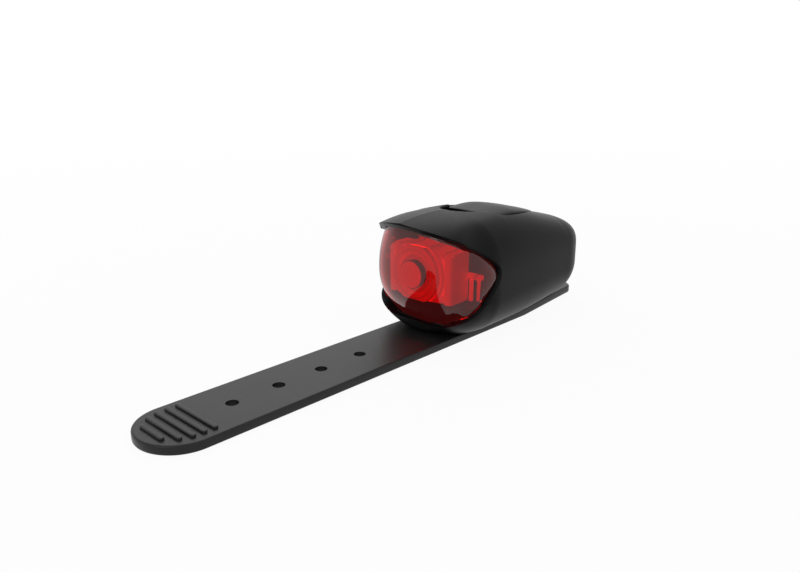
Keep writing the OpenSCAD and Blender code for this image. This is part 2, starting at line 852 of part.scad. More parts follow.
// Round tray on feet, its wall rising to the board, with two screw lugs behind
module cell_tray() {
    color([0.85, 0.85, 0.83])
    difference() {
        union() {
            z_bar(0, cell_y, tray_z + tray_chamfer, board_z, tray_radius);
            translate([0, cell_y, tray_z])
                cylinder(h = tray_chamfer, r1 = tray_radius - tray_chamfer, r2 = tray_radius);
            for (side = [-1, 1]) {
                z_bar(side * lug_x, lug_y, tray_z, board_z, lug_radius);
                block(side * lug_x - lug_rib, side * lug_x + lug_rib, cell_y, lug_y, tray_z, board_z);
            }
            for (side = [-1, 1], y = [foot_first_y, foot_second_y])
                z_bar(side * foot_x, y, floor_z, tray_z + eps, foot_radius);
        }
        z_bar(0, cell_y, tray_z + tray_floor, board_z + 1, cell_diameter / 2 + slip);
        for (side = [-1, 1])
            z_bar(side * lug_x, lug_y, board_z - board_screw_length, board_z + 1, small_radius);
        block(-tray_notch, tray_notch, cell_y + tray_radius / 2, cell_y + tray_radius + 1,
            tray_z + tray_floor, board_z + 1);
    }
}

module coin_cell(z) {
    rim = cell_thickness / 8;
    r = cell_diameter / 2;
    pole = 0.84 * r;
    color([0.78, 0.78, 0.8])
    translate([0, cell_y, z])
    rotate_extrude()
    polygon([
        [0, 0], [pole, 0], [pole, rim], [r - rim, rim], [r, 2 * rim], [r, cell_thickness],
        [0, cell_thickness]
    ]);
}

module cell_lower() {
    coin_cell(cell_z);
}

module cell_upper() {
    coin_cell(cell_z + cell_thickness);
}

module negative_contact() {
    color([0.8, 0.72, 0.45])
    block(-leaf_half, leaf_half, cell_y - leaf_reach, cell_y + leaf_reach, tray_z + tray_floor, cell_z);
}

// Strip from the top of the upper cell to the board's underside
module positive_contact() {
    color([0.8, 0.72, 0.45])
    union() {
        block(-strip_half, strip_half, strip_front_y, strip_rear_y,
            cell_top_z, cell_top_z + contact_thickness);
        block(-strip_half, strip_half, strip_rear_y - contact_thickness, strip_rear_y, cell_top_z, board_z);
    }
}

// Rivet with a rounded head; the strap's holes slip over it
module closing_peg() {
    neck = peg_neck_diameter / 2;
    head = peg_head_diameter / 2;
    neck_top = strap_thickness * 2 + peg_play;
    color([0.12, 0.12, 0.12])
    translate([0, peg_y, 0])
    rotate_extrude()
    polygon([
        [0, 0], [peg_flange_radius, 0], [peg_flange_radius, peg_flange_height], [neck, peg_flange_height],
        [neck, neck_top], [head, neck_top], [head, neck_top + peg_rim],
        [head - peg_edge, neck_top + peg_dome - slip], [0, neck_top + peg_dome]
    ]);
}

// Outline of the strap behind the first bend
module saddle_outline() {
    half = strap_width / 2;
    end_half = tab_end_half;
    union() {
        translate([-half, -anchor_setback]) square([strap_width, anchor_setback + tab_taper_start]);
        polygon([
            [-half, tab_taper_start], [half, tab_taper_start], [end_half, tab_length - tab_corner],
            [-end_half, tab_length - tab_corner]
        ]);
        translate([-end_half + tab_corner, tab_length - tab_corner - eps])
            square([2 * (end_half - tab_corner), tab_corner + eps]);
        for (side = [-1, 1])
            translate([side * (end_half - tab_corner), tab_length - tab_corner]) circle(tab_corner);
    }
}

module strap_saddle() {
    color([0.2, 0.2, 0.2])
    difference() {
        union() {
            linear_extrude(strap_thickness) saddle_outline();
            for (y = [stud_first_y, stud_second_y]) {
                z_bar(0, y, strap_thickness - eps, floor_z + eps, stud_radius);
                z_bar(0, y, floor_z, floor_z + stud_head_height, stud_head_radius);
            }
        }
        z_bar(0, peg_y, -1, strap_thickness + 1, peg_neck_diameter / 2);
        z_bar(0, peg_y, -1, peg_flange_height, peg_flange_radius);
    }
}

// One stretch of the strap between two bends; index counts from the housing
module strap_link(index) {
    far_y = -(anchor_setback + index * hole_pitch);
    color([0.2, 0.2, 0.2])
    difference() {
        block(-strap_width / 2, strap_width / 2, far_y, far_y + hole_pitch, 0, strap_thickness);
        if (index > plain_links)
            z_bar(0, far_y + hole_pitch / 2, -1, strap_thickness + 1, hole_diameter / 2);
    }
}

module strap_link_1() {
    strap_link(1);
}

module strap_link_2() {
    strap_link(2);
}

module strap_link_3() {
    strap_link(3);
}

module strap_link_4() {
    strap_link(4);
}

module strap_link_5() {
    strap_link(5);
}

module strap_link_6() {
    strap_link(6);
}

module strap_link_7() {
    strap_link(7);
}

// Round end of the strap with its grip bars
module strap_tip() {
    half = strap_width / 2;
    root_y = -(anchor_setback + link_count * hole_pitch);
    grip_radius = half - grip_margin;
    color([0.2, 0.2, 0.2])
    union() {
        block(-half, half, tip_centre_y, root_y, 0, strap_thickness);
        intersection() {
            z_bar(0, tip_centre_y, 0, strap_thickness, half);
            block(-half, half, tip_centre_y - half, tip_centre_y + eps, 0, strap_thickness);
        }
        for (i = [0:grip_count - 1])
            let (
                y = tip_centre_y - grip_radius + grip_width + i * grip_pitch,
                dy = min(y - tip_centre_y, 0),
                reach = sqrt(max(grip_radius * grip_radius - dy * dy, 1)) - grip_width / 2
            )
            grip_bar(y, reach);
    }
}

module grip_bar(y, reach) {
    low = strap_thickness - eps;
    high = strap_thickness + grip_height;
    block(-reach, reach, y - grip_width / 2, y + grip_width / 2, low, high);
    for (side = [-1, 1])
        z_bar(side * reach, y, low, high, grip_width / 2);
}

upper_shell();
lower_shell();
seam_seal();
shell_screw();
lens();
lens_gasket();
optic();
optic_frame();
frame_screws();
led();
led_board();
main_board();
board_parts();
board_screws();
switch_body();
switch_plunger();
button();
button_seal();
button_clip();
cell_tray();
cell_lower();
cell_upper();
negative_contact();
positive_contact();
closing_peg();
strap_saddle();
strap_link_1();
strap_link_2();
strap_link_3();
strap_link_4();
strap_link_5();
strap_link_6();
strap_link_7();
strap_tip();
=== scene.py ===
"""Bike rear light on a rubber strap: fine shells, lens, optic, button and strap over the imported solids."""

import math

import bmesh
import bpy
from mathutils import Matrix, Vector


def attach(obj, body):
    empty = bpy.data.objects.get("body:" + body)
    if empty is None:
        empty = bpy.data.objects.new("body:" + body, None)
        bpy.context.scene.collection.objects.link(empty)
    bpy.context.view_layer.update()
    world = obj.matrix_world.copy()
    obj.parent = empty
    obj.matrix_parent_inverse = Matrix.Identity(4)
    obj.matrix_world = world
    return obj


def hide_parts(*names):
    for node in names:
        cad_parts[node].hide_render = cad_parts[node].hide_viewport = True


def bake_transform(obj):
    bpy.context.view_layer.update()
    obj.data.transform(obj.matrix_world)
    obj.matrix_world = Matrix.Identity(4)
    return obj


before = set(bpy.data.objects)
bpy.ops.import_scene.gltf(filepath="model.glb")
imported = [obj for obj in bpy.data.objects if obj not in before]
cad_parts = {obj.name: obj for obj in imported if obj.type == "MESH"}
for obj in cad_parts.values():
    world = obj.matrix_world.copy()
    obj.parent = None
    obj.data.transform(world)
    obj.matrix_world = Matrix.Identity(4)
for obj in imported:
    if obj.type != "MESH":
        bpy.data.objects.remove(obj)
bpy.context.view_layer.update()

MM = 0.001
SMOOTH_ANGLE = 32.0

# Strap, in millimetres as all sizes below
STRAP_HALF = 7.75
STRAP_THICK = 1.75
STRAP_EDGE = 0.35
TIP_Y = -83.25
TAPER_Y = 2.0
TAB_END_Y = 26.2
TAB_HALF = 5.6
TAB_CORNER = 3.0
PEG_Y = 23.4
PEG_NECK = 1.1
HOLE_RADIUS = 1.2
HOLE_FIRST_Y = -43.25
HOLE_PITCH = 10.0
HOLES = 4
HINGE_FIRST_Y = -8.25
HOLE_SIDES = 40
LINKS = 8
SEAM_PAST_HINGE = 6.8
BEND_REACH = 2.8
LAST_BEND_REACH = 1.8
BEND_STEP = 0.4
BARS = 5
BAR_PITCH = 2.0
BAR_WIDTH = 1.0
BAR_HEIGHT = 0.45
BAR_MARGIN = 1.65
BAR_FIRST_Y = -88.35
BAR_SIDES = 32
BAR_POLE = 0.004

# Housing
FRONT_RADIUS = 14.3
REAR_RADIUS = 11.6
FRONT_Y = -17.5
REAR_Y = 12.7
BASE_Z = 1.75
FLOOR_Z = 3.35
SEAM_Z = 15.3
HEIGHT = 25.08
CROWN_FALL = 5.2
FALL_EASES = 0.8
BELTS = (9.0, 8.0, 10.0)
TUCKS = (8.3, 7.5, 8.0)
TUCK_POWER = 1.9
FLANK_FILL = 1.3
SHOULDERS = (11.55, 11.55, 13.55)
CHIN_REACH = 9.6
CHIN_EDGE = 0.5
CHIN_TOP_Z = 7.0
CHIN_ANGLE = 75.0
CHIN_SLOPE = 6.0
RIM_FLARE = 0.8
FLARE_ANGLES = (30.0, 60.0)
FLARE_FADE = 25.0
FLARE_RISE = 6.0
WALL = 1.5
INNER_WALL = WALL * 0.8
ROOF = 1.5
ROOF_REACH = 0.97
ROOF_LEAST = 0.3
SIDE_ANGLE = 90 + math.degrees(math.asin((FRONT_RADIUS - REAR_RADIUS) / (REAR_Y - FRONT_Y)))
SIDE_POWERS = (2.7, 3.0)
REAR_SLOPE = 0.2
BROW_POWER = 2.9
BROW_START = 50.0
VISOR_UNDERCUT = 0.7
LIP_THICK = 0.9
RIDGE_RISE = 0.4
RIDGE_SPREAD = 3.0
RIDGE_END_Y = -14.0
RIDGE_RUN = 8.0
SEAM_EDGE = 0.02
SEAM_SETTLES = 0.2

# Lens opening
EYE_ANGLE = 90.5
EYE_TOP_Z = 25.0
EYE_LOW_Z = 3.75
EYE_DIP_Z = 2.0
EYE_POWERS = (0.76, 0.8)
EYE_SOFT = 0.8
EYE_DENSE = 70.0
CORNER_Z = 15.6
CORNER_HALF = 1.0
CORNER_ROUND = 1.2
BEZEL_WIDTH = 0.5
BEZEL_GROWS = (40.0, 35.0)
CHIN_RISE = 0.8
CHIN_ENDS = (25.0, 45.0)
SEAT_BEHIND = 2.0
LENS_SETBACK = 0.9
LENS_CHIN_REACH = 7.1
LENS_CHIN_SOFT = 0.6
LENS_BELLY = 14.5
LENS_FLAT = 1.7
LENS_BELLY_Z = 14.8
LENS_CORNER_FALL = 1.1
LENS_CORNER_POWER = 0.3
LENS_POWERS = (2.5, 2)
LENS_TOP = (13.1, 13.0)
LENS_WALL = 1.1
LENS_PROUD = 0.1
LEAST_HEIGHT = 0.1
LENS_GAP = 0.06
LENS_FRAME = 0.9
LENS_FRAME_DEPTH = 0.1
FLANGE = (0.45, 0.9)

# Button and its well
WIDE_Y = -6.8
WELL = (-18.0, 13.45, 7.45)
WELL_NOSE = 4.8
WELL_NOSE_Y = -10.5
WELL_DEPTH = 2.8
WELL_FLOOR = 1.0
WELL_EDGE = 0.35
BUTTON = (-11.3, 13.2, 7.2)
BLUNT_POWER = 2.5
LEAF_POWER = 1.7
BUTTON_PROUD = 0.4
BUTTON_DOME = 0.4
BUTTON_SKIRT = 2.1
BUTTON_SUNK = 0.6
BUTTON_RISE = 9.0
BUTTON_EDGE = 0.4
STEM_Y = -3.29
STEM_RADIUS = 1.04
STEM_HOLE = 1.6
STEM_LOW_Z = 20.5
STEM_SUNK = 0.5
STEM_SIDES = 48
CREASE_END_Y = WELL[0] - 0.3
CREASE_LOW_Z = EYE_TOP_Z + 0.4

# Optic
OPTIC_HALF = 8.6
OPTIC_Z = 15.0
OPTIC_LOW_Z = 9.6
OPTIC_HIGH_Z = 20.0
BARREL_HIGH_Z = 20.7
OPTIC_BACK_Y = -20.2
OPTIC_FACE_Y = -25.0
FLUTE_WIDTH = 2.3
FLUTES = 3
FLUTE_DEPTH = 0.9
FLUTE_SIDES = 32
OPTIC_EDGE = 0.35
FIN_EDGE = 0.15
OPTIC_SIDES = 96

# Rings of painted shade on the optic: radius, half width and how much of the painted glow is lost
PAINTED_RING_SHADES = ((3.6, 0.9, 0.35), (5.1, 0.16, 0.4), (6.2, 0.2, 0.5), (6.75, 0.5, 0.25))
BARREL_RADIUS = 7.2
# Painted shade in the grooves between the flutes: how much of the painted glow is lost
PAINTED_GROOVE_SHADE = 0.6

# Rows of the shells' sections
EYE_STATIONS = (40, 26, 8)
SEAM_STATIONS = (5, 24, 40)
BASE_ROWS = 4
TUCK_ROWS = 28
SIDE_ROWS = 5
INNER_ROWS = 12
FLOOR_ROWS = 3
JACKET_ROWS = 5
ROOF_ROWS = 8
CROWN_ROWS = 33
CROWN_CROWDING = 1.7
WELL_WALL_ROWS = 3
WELL_FLOOR_ROWS = 4
BEZEL_STEPS = (0.0, 0.1, 0.25, 0.4, 0.55, 0.7, 0.85, 1.0)
BEZEL_ROLL = 1.3
LIP_ROUND = ((0.75, 0.25), (0.45, 0.5), (0.15, 0.75), (0.0, 0.9))
WELL_ROUND = ((0.22, 0.025), (0.1, 0.1), (0.02, 0.24), (0.0, 0.4))
LENS_FACE_ROWS = 48
LENS_BACK_ROWS = 32
PAD_COLUMNS = 160
PAD_FOOT = (0.0, 0.2, 0.4, 0.6, 0.8, 1.0)
PAD_FACE = (1.0, 0.996, 0.988, 0.975, 0.955, 0.925, 0.88, 0.82, 0.74, 0.64, 0.52, 0.38, 0.24, 0.1, 0.0)

# Stage, in metres
FLOOR_HALF = 1.5
FLOOR_DROP = 0.0001
FLOOR_BRIGHT = 0.94
FLOOR_FADE = (0.1, 0.35)
WORLD_LEVEL = 0.55
LAMPS = (
    ("overhead_softbox", (-0.24, 0.2, 0.45), (0.0, -0.02, 0.01), 0.5, 0.95),
    ("front_fill", (0.1, -0.45, 0.25), (0.0, -0.03, 0.01), 0.3, 0.35),
)
CAMERA_PLACE = (0.104614, -0.140477, 0.0613815)
CAMERA_RIGHT = (0.7206, 0.6933, 0.0)
CAMERA_BACK = (0.6605, -0.6865, 0.3040)


class Wire:
    """A node's output that takes part in arithmetic."""

    def __init__(self, board, socket):
        self.board = board
        self.socket = socket

    def __add__(self, other):
        return self.board.math("ADD", self, other)

    def __sub__(self, other):
        return self.board.math("SUBTRACT", self, other)

    def __rsub__(self, other):
        return self.board.math("SUBTRACT", other, self)

    def __mul__(self, other):
        return self.board.math("MULTIPLY", self, other)

    def __truediv__(self, other):
        return self.board.math("DIVIDE", self, other)

    def __pow__(self, other):
        return self.board.math("POWER", self, other)

    __radd__ = __add__
    __rmul__ = __mul__


class Board:
    """A node tree that is wired from Python."""

    def __init__(self, tree):
        self.tree = tree

    def make(self, kind, settings, sockets, out=0):
        """A node with its settings and sockets; a list links several wires to one socket."""
        node = self.tree.nodes.new(kind)
        for name, value in settings.items():
            if name == "stops":
                ramp = node.color_ramp.elements
                while len(ramp) < len(value):
                    ramp.new(1.0)
                for element, (position, shade) in zip(ramp, value):
                    element.position = position
                    element.color = (*shade, 1.0)
            else:
                setattr(node, name, value)
        for key, value in sockets.items():
            wires = value if isinstance(value, list) else [value]
            for wire in wires:
                if isinstance(wire, Wire):
                    self.tree.links.new(wire.socket, node.inputs[key])
                else:
                    node.inputs[key].default_value = wire
        return Wire(self, node.outputs[out]) if node.outputs else None

    def math(self, operation, *values):
        return self.make("ShaderNodeMath", {"operation": operation}, dict(enumerate(values)))

    def vector(self, x=0.0, y=0.0, z=0.0):
        return self.make("ShaderNodeCombineXYZ", {}, {0: x, 1: y, 2: z})

    def spot(self):
        return self.make("ShaderNodeTexCoord", {}, {}, "Object")

    def noise(self, spot, size, detail=2.0, rough=0.5):
        """Noise with spots of about the given size in millimetres."""
        sockets = {"Vector": spot, "Scale": 0.5 / (size * MM), "Detail": detail, "Roughness": rough}
        return self.make("ShaderNodeTexNoise", {}, sockets)

    def sharpen(self, value, low, high):
        sockets = {"Value": value, "From Min": low, "From Max": high}
        return self.make("ShaderNodeMapRange", {"clamp": True}, sockets)

    def line(self, value, middle, half):
        """One where the value is at the middle, falling to nothing at half a width from it."""
        off = self.math("ABSOLUTE", value - middle)
        return 1 - self.sharpen(off, half * 0.4, half)

    def tint(self, share, first, second):
        sockets = {0: share, 6: (*first, 1.0), 7: (*second, 1.0)}
        return self.make("ShaderNodeMix", {"data_type": "RGBA"}, sockets, 2)

    def relief(self, height, depth):
        """Normals of a relief whose height is the given depth in millimetres."""
        sockets = {"Strength": 1.0, "Distance": depth * MM, "Height": height}
        return self.make("ShaderNodeBump", {}, sockets)


def blank_board(block):
    """Board of a material's or a world's own tree, emptied."""
    block.use_nodes = True
    block.node_tree.nodes.clear()
    return Board(block.node_tree)


def make_finish(name, paint):
    """A material whose paint function gives the values of the Principled shader."""
    material = bpy.data.materials.new(name)
    board = blank_board(material)
    shader = board.make("ShaderNodeBsdfPrincipled", {}, paint(board))
    board.make("ShaderNodeOutputMaterial", {}, {"Surface": shader})
    return material


def moulded(dark, light, rough, grain, depth, specular=0.5):
    """Moulded plastic or rubber: cloudy colour, spark-eroded grain, uneven gloss."""

    def paint(board):
        spot = board.spot()
        cloud = board.sharpen(board.noise(spot, 6.0, 3.0), 0.3, 0.7)
        fine = board.noise(spot, grain, 2.0, 0.6)
        speck = board.sharpen(fine, 0.35, 0.65)
        return {
            "Base Color": board.tint(cloud * 0.7 + speck * 0.3, dark, light),
            "Roughness": rough - 0.05 + cloud * 0.06 + speck * 0.04,
            "Specular IOR Level": specular,
            "Normal": board.relief(fine, depth),
        }

    return paint


def clear_red(board):
    """Red polycarbonate, polished, with faint flow marks and a faint painted red glow."""
    spot = board.spot()
    flow = board.sharpen(board.noise(spot, 5.0, 2.0), 0.3, 0.7)
    return {
        "Base Color": board.tint(flow, (0.28, 0.004, 0.003), (0.32, 0.006, 0.005)),
        "Roughness": 0.015 + flow * 0.02,
        "IOR": 1.43,
        "Transmission Weight": 1.0,
        # Faint painted red glow in place of light scattered in the lens
        "Emission Color": board.tint(flow, (1.0, 0.08, 0.08), (1.0, 0.1, 0.1)),
        "Emission Strength": 0.022,
    }


def red_with_painted_glow(board):
    """Red light-guide plastic with a painted glow in place of the light it gathers, and painted shade that
    dims that glow in its grooves, steps and round its rings.
    """
    spot = board.spot()
    flow = board.sharpen(board.noise(spot, 2.5, 3.0), 0.3, 0.7)
    x = board.make("ShaderNodeSeparateXYZ", {}, {0: spot}, 0) / MM
    z = board.make("ShaderNodeSeparateXYZ", {}, {0: spot}, 2) / MM - OPTIC_Z
    radius = (x * x + z * z) ** 0.5
    # Painted shade at the optic's steps and round its recess, taken off the painted glow
    painted_ring_shade = 0.0
    for ring, half, share in PAINTED_RING_SHADES:
        painted_ring_shade = painted_ring_shade + board.line(radius, ring, half) * share
    side = board.math("ABSOLUTE", x)
    turn = (OPTIC_HALF - side) / FLUTE_WIDTH
    dip = board.math("PINGPONG", turn, 0.5)
    flutes_from = OPTIC_HALF - FLUTES * FLUTE_WIDTH
    beside = board.sharpen(side, flutes_from, flutes_from + 0.3)
    beyond = board.sharpen(radius, BARREL_RADIUS, BARREL_RADIUS + 0.1)
    # Painted shade in the grooves between the flutes
    painted_groove_shade = (1 - board.sharpen(dip, 0.0, 0.22)) * beside * beyond * PAINTED_GROOVE_SHADE
    painted_light_share = 1 - painted_ring_shade - painted_groove_shade
    return {
        "Base Color": board.tint(flow, (0.75, 0.012, 0.01), (0.8, 0.02, 0.016)),
        "Roughness": 0.16 + flow * 0.08,
        "Specular IOR Level": 0.5,
        # Painted glow in place of the light the part gathers, dimmed by painted shade at its rings and
        # grooves
        "Emission Color": board.tint(painted_light_share, (0.1, 0.002, 0.002), (0.95, 0.011, 0.009)),
        "Emission Strength": 1.3,
    }


def brushed(shade, light, rough, stretch):
    """Metal with fine drawn marks."""

    def paint(board):
        spot = board.make("ShaderNodeMapping", {}, {"Vector": board.spot(), "Scale": stretch})
        marks = board.sharpen(board.noise(spot, 0.3, 3.0), 0.25, 0.75)
        return {
            "Base Color": board.tint(marks, shade, light),
            "Metallic": 1.0,
            "Roughness": rough + marks * 0.15,
            "Normal": board.relief(marks, 0.01),
        }

    return paint


def board_green(board):
    """Circuit board: solder mask with copper runs that show through."""
    spot = board.spot()
    runs = board.make("ShaderNodeTexBrick", {}, {"Vector": spot, "Scale": 420.0, "Mortar Size": 0.012}, 1)
    cloud = board.noise(spot, 3.0)
    run = board.sharpen(runs, 0.4, 0.6)
    return {
        "Base Color": board.tint(run * 0.8 + cloud * 0.2, (0.008, 0.10, 0.035), (0.03, 0.22, 0.08)),
        "Roughness": 0.3 + cloud * 0.12,
        "Normal": board.relief(run, 0.03),
    }


HOUSING_BLACKS = ((0.0026, 0.0026, 0.0028), (0.0046, 0.0046, 0.0049))
BUTTON_BLACKS = ((0.004, 0.004, 0.0043), (0.007, 0.007, 0.0074))
STRAP_GREYS = ((0.012, 0.0115, 0.0115), (0.019, 0.0185, 0.0185))
SEAL_BLACKS = ((0.006, 0.006, 0.006), (0.012, 0.012, 0.012))
INNER_BLACKS = ((0.005, 0.005, 0.005), (0.010, 0.010, 0.010))
RESIN_REDS = ((0.45, 0.02, 0.015), (0.6, 0.04, 0.03))
TRAY_WHITES = ((0.55, 0.55, 0.53), (0.65, 0.65, 0.63))
CAN_GREYS = ((0.52, 0.52, 0.51), (0.68, 0.68, 0.66))
GOLDS = ((0.70, 0.50, 0.20), (0.85, 0.65, 0.30))
ZINC_GREYS = ((0.45, 0.45, 0.46), (0.62, 0.62, 0.63))

PAINTS = {
    "housing": (
        "satin_black_housing",
        moulded(*HOUSING_BLACKS, rough=0.36, grain=0.16, depth=0.006, specular=0.07),
    ),
    "button_pad": (
        "soft_black_button",
        moulded(*BUTTON_BLACKS, rough=0.38, grain=0.2, depth=0.008, specular=0.1),
    ),
    "strap": ("dark_strap_rubber", moulded(*STRAP_GREYS, rough=0.36, grain=0.25, depth=0.012, specular=0.22)),
    "seal": ("black_seal_rubber", moulded(*SEAL_BLACKS, rough=0.6, grain=0.2, depth=0.01)),
    "lens_red": ("clear_red_lens", clear_red),
    "optic_red": ("red_light_guide_painted_glow", red_with_painted_glow),
    "inner_black": ("inner_black_plastic", moulded(*INNER_BLACKS, rough=0.4, grain=0.2, depth=0.01)),
    "led_resin": ("red_led_resin", moulded(*RESIN_REDS, rough=0.25, grain=0.4, depth=0.004)),
    "board_green": ("green_circuit_board", board_green),
    "tray_white": ("white_tray_plastic", moulded(*TRAY_WHITES, rough=0.45, grain=0.25, depth=0.01)),
    "cell_can": ("steel_cell_can", brushed(*CAN_GREYS, rough=0.22, stretch=(1.0, 1.0, 6.0))),
    "contact": ("gold_plated_contact", brushed(*GOLDS, rough=0.2, stretch=(5.0, 1.0, 1.0))),
    "steel": ("zinc_plated_steel", brushed(*ZINC_GREYS, rough=0.25, stretch=(1.0, 4.0, 1.0))),
}
FINISHES = {label: make_finish(*named_paint) for label, named_paint in PAINTS.items()}


def clamp(value, low=0.0, high=1.0):
    return max(low, min(high, value))


def lerp(first, second, share):
    return first + (second - first) * share


def ease(share):
    c = clamp(share)
    return c * c * (3 - 2 * c)


def ramp(value, start, run):
    """Nothing up to the start, one from a run past it on."""
    return ease((value - start) / run)


def smooth_min(first, second, soft):
    """The lower of two values, rounded off where they cross."""
    share = clamp(0.5 + (second - first) / (2 * soft))
    return lerp(second, first, share) - soft * share * (1 - share)


def sind(angle):
    return math.sin(math.radians(angle))


def cosd(angle):
    return math.cos(math.radians(angle))


def full_turn(sides, shift=0.0):
    """Angles of even steps all the way round."""
    return [360 * (i + shift) / sides for i in range(sides)]


def zone(angle, sizes):
    """Size at an angle, from the sizes in front, at the sides and behind."""
    front, side, rear = sizes
    return lerp(side, front if angle < 90 else rear, cosd(angle) ** 2)


def tuck(angle, along):
    """How far the underside draws in, less in the middle of the flanks."""
    return zone(angle, TUCKS) - FLANK_FILL * sind(180 * along)


def spine_y(along):
    return lerp(FRONT_Y, REAR_Y, along)


def plan_radius(along):
    return lerp(FRONT_RADIUS, REAR_RADIUS, along)


def belt_z(angle):
    return BASE_Z + zone(angle, BELTS)


def crown_z(along):
    """Height of the crown's middle line, which falls faster and faster and then evenly."""
    past = max(along - FALL_EASES, 0)
    return BASE_Z + HEIGHT - CROWN_FALL * (along ** 2 - past ** 2)


def brow_share(angle, along):
    """One over the visor, nothing from the flanks on."""
    return 1 - ramp(angle, BROW_START, SIDE_ANGLE - BROW_START) if along == 0 else 0.0


def eye_share(angle):
    return max(cosd(min(angle / EYE_ANGLE, 1) * 90), 0.0)


def corner_height(angle):
    """Half height of the lens opening's blunt corner, past the eye's own curve."""
    past = clamp((angle - EYE_ANGLE) / CORNER_ROUND)
    return CORNER_HALF * math.sqrt(1 - past ** 2)


def eye_top(angle):
    return lerp(CORNER_Z + corner_height(angle), EYE_TOP_Z, eye_share(angle) ** EYE_POWERS[0])


def eye_low(angle):
    curve = lerp(CORNER_Z - corner_height(angle), EYE_DIP_Z, eye_share(angle) ** EYE_POWERS[1])
    return -smooth_min(-curve, -EYE_LOW_Z, EYE_SOFT)


def shoulder_z(angle):
    return BASE_Z + zone(angle, SHOULDERS)


def crown_level(angle, along, reach):
    """Height of the skin at a share of the plan radius: visor facets in front, round flanks behind them."""
    top = crown_z(along)
    if along == 1:
        top += REAR_SLOPE * reach * plan_radius(along) * cosd(angle)
    power = lerp(*SIDE_POWERS, along)
    edge = shoulder_z(angle)
    flank = edge + (top - edge) * max(1 - reach ** power, 0) ** (1 / power)
    share = brow_share(angle, along)
    if share == 0:
        return flank
    brow = eye_top(min(angle, EYE_ANGLE)) + LIP_THICK
    return lerp(flank, brow + (top - brow) * (1 - reach ** BROW_POWER), share)


def skin_radius(angle, along, z):
    """Distance from the spine to the housing's skin at height z, without the visor lip."""
    radius = plan_radius(along)
    belt = belt_z(angle)
    edge = shoulder_z(angle)
    if z < belt:
        t = clamp((belt - z) / (belt - BASE_Z))
        radius -= tuck(angle, along) * (1 - (1 - t ** TUCK_POWER) ** (1 / TUCK_POWER))
        return chin_cut(angle, along, z, radius) + flare(angle, along, z)
    if z <= edge:
        return radius
    if z <= crown_level(angle, along, 1.0):
        return radius
    low, high = 0.0, 1.0
    for _ in range(30):
        mid = (low + high) / 2
        if crown_level(angle, along, mid) > z:
            low = mid
        else:
            high = mid
    return radius * low


def flare(angle, along, z):
    """How far the chin's rim stands out beside the lens."""
    if along > 0:
        return 0.0
    start, end = FLARE_ANGLES
    share = ramp(angle, start, FLARE_FADE) * (1 - ramp(angle, end, FLARE_FADE))
    return RIM_FLARE * share * ramp(z, BASE_Z, FLARE_RISE)


def chin_cut(angle, along, z, radius):
    """Radius drawn back to the upright flat face of the chin."""
    if along > 0 or angle > CHIN_ANGLE:
        return radius
    face = CHIN_REACH / cosd(angle) + CHIN_SLOPE * max(z - CHIN_TOP_Z, 0)
    return smooth_min(radius, face, CHIN_EDGE)


def crown_at(x, y):
    """Height of the crown over a point of the plan."""
    tilt = SIDE_ANGLE - 90
    radius = abs(x) / cosd(tilt)
    along = (y - radius * sind(tilt) - FRONT_Y) / (REAR_Y - FRONT_Y)
    if 0 <= along <= 1:
        return crown_level(SIDE_ANGLE, along, min(radius / plan_radius(along), 1))
    along = clamp(along)
    back = y - spine_y(along)
    angle = math.degrees(math.atan2(abs(x), -back))
    return crown_level(angle, along, min(math.hypot(x, back) / plan_radius(along), 1))


def ridge(x, y):
    """Rise of the crease that runs from the visor to the button's well."""
    return RIDGE_RISE * math.exp(-abs(x) / RIDGE_SPREAD) * ease((RIDGE_END_Y - y) / RIDGE_RUN)


def leaf_half(leaf, y):
    """Half width of a leaf outline at y, blunt in front of its widest place and pointed behind it."""
    front, rear, half = leaf
    if y < WIDE_Y:
        return half * max(1 - ((WIDE_Y - y) / (WIDE_Y - front)) ** BLUNT_POWER, 0) ** (1 / BLUNT_POWER)
    return half * max(1 - ((y - WIDE_Y) / (rear - WIDE_Y)) ** 2, 0) ** (LEAF_POWER / 2)


def leaf_point(leaf, turn, scale=1.0):
    """Point of a leaf outline at a turn from its front, drawn towards its widest place by a scale."""
    front, rear, _ = leaf
    c = cosd(turn)
    y = WIDE_Y - c * (WIDE_Y - front if c > 0 else rear - WIDE_Y)
    x = leaf_half(leaf, y) * (1 if turn <= 180 else -1)
    return x * scale, lerp(WIDE_Y, y, scale)


def inside_well(margin, x, y):
    """Whether a point lies in the well: the button's own outline and a narrow nose in front of it."""
    front, rear, half = WELL
    leaf = (BUTTON[0] - half + BUTTON[2] - margin, rear + margin, half + margin)
    if leaf[0] < y < leaf[1] and abs(x) < leaf_half(leaf, y):
        return True
    nose = (y - WELL_NOSE_Y) / (WELL_NOSE_Y - front + margin)
    return nose > -1 and y < WIDE_Y and abs(x) < (WELL_NOSE + margin) * math.sqrt(1 - min(nose, 0) ** 2)


def well_reach(margin, angle, along):
    """Distance from the spine to the well's outline along a station's ray."""
    low, high = 0.0, plan_radius(along)
    for _ in range(40):
        mid = (low + high) / 2
        if inside_well(margin, mid * sind(angle), spine_y(along) - mid * cosd(angle)):
            low = mid
        else:
            high = mid
    return low


def place(angle, along, radius, z):
    return (radius * sind(angle), spine_y(along) - radius * cosd(angle), z)


def show(name, data):
    """A named object in the scene."""
    shown = bpy.data.objects.new(name, data)
    bpy.context.scene.collection.objects.link(shown)
    return shown


def applied(host, modifier):
    """Plain mesh of an object with a modifier on it, which then comes off."""
    bpy.context.view_layer.update()
    graph = bpy.context.evaluated_depsgraph_get()
    mesh = bpy.data.meshes.new_from_object(host.evaluated_get(graph))
    host.modifiers.remove(modifier)
    return mesh


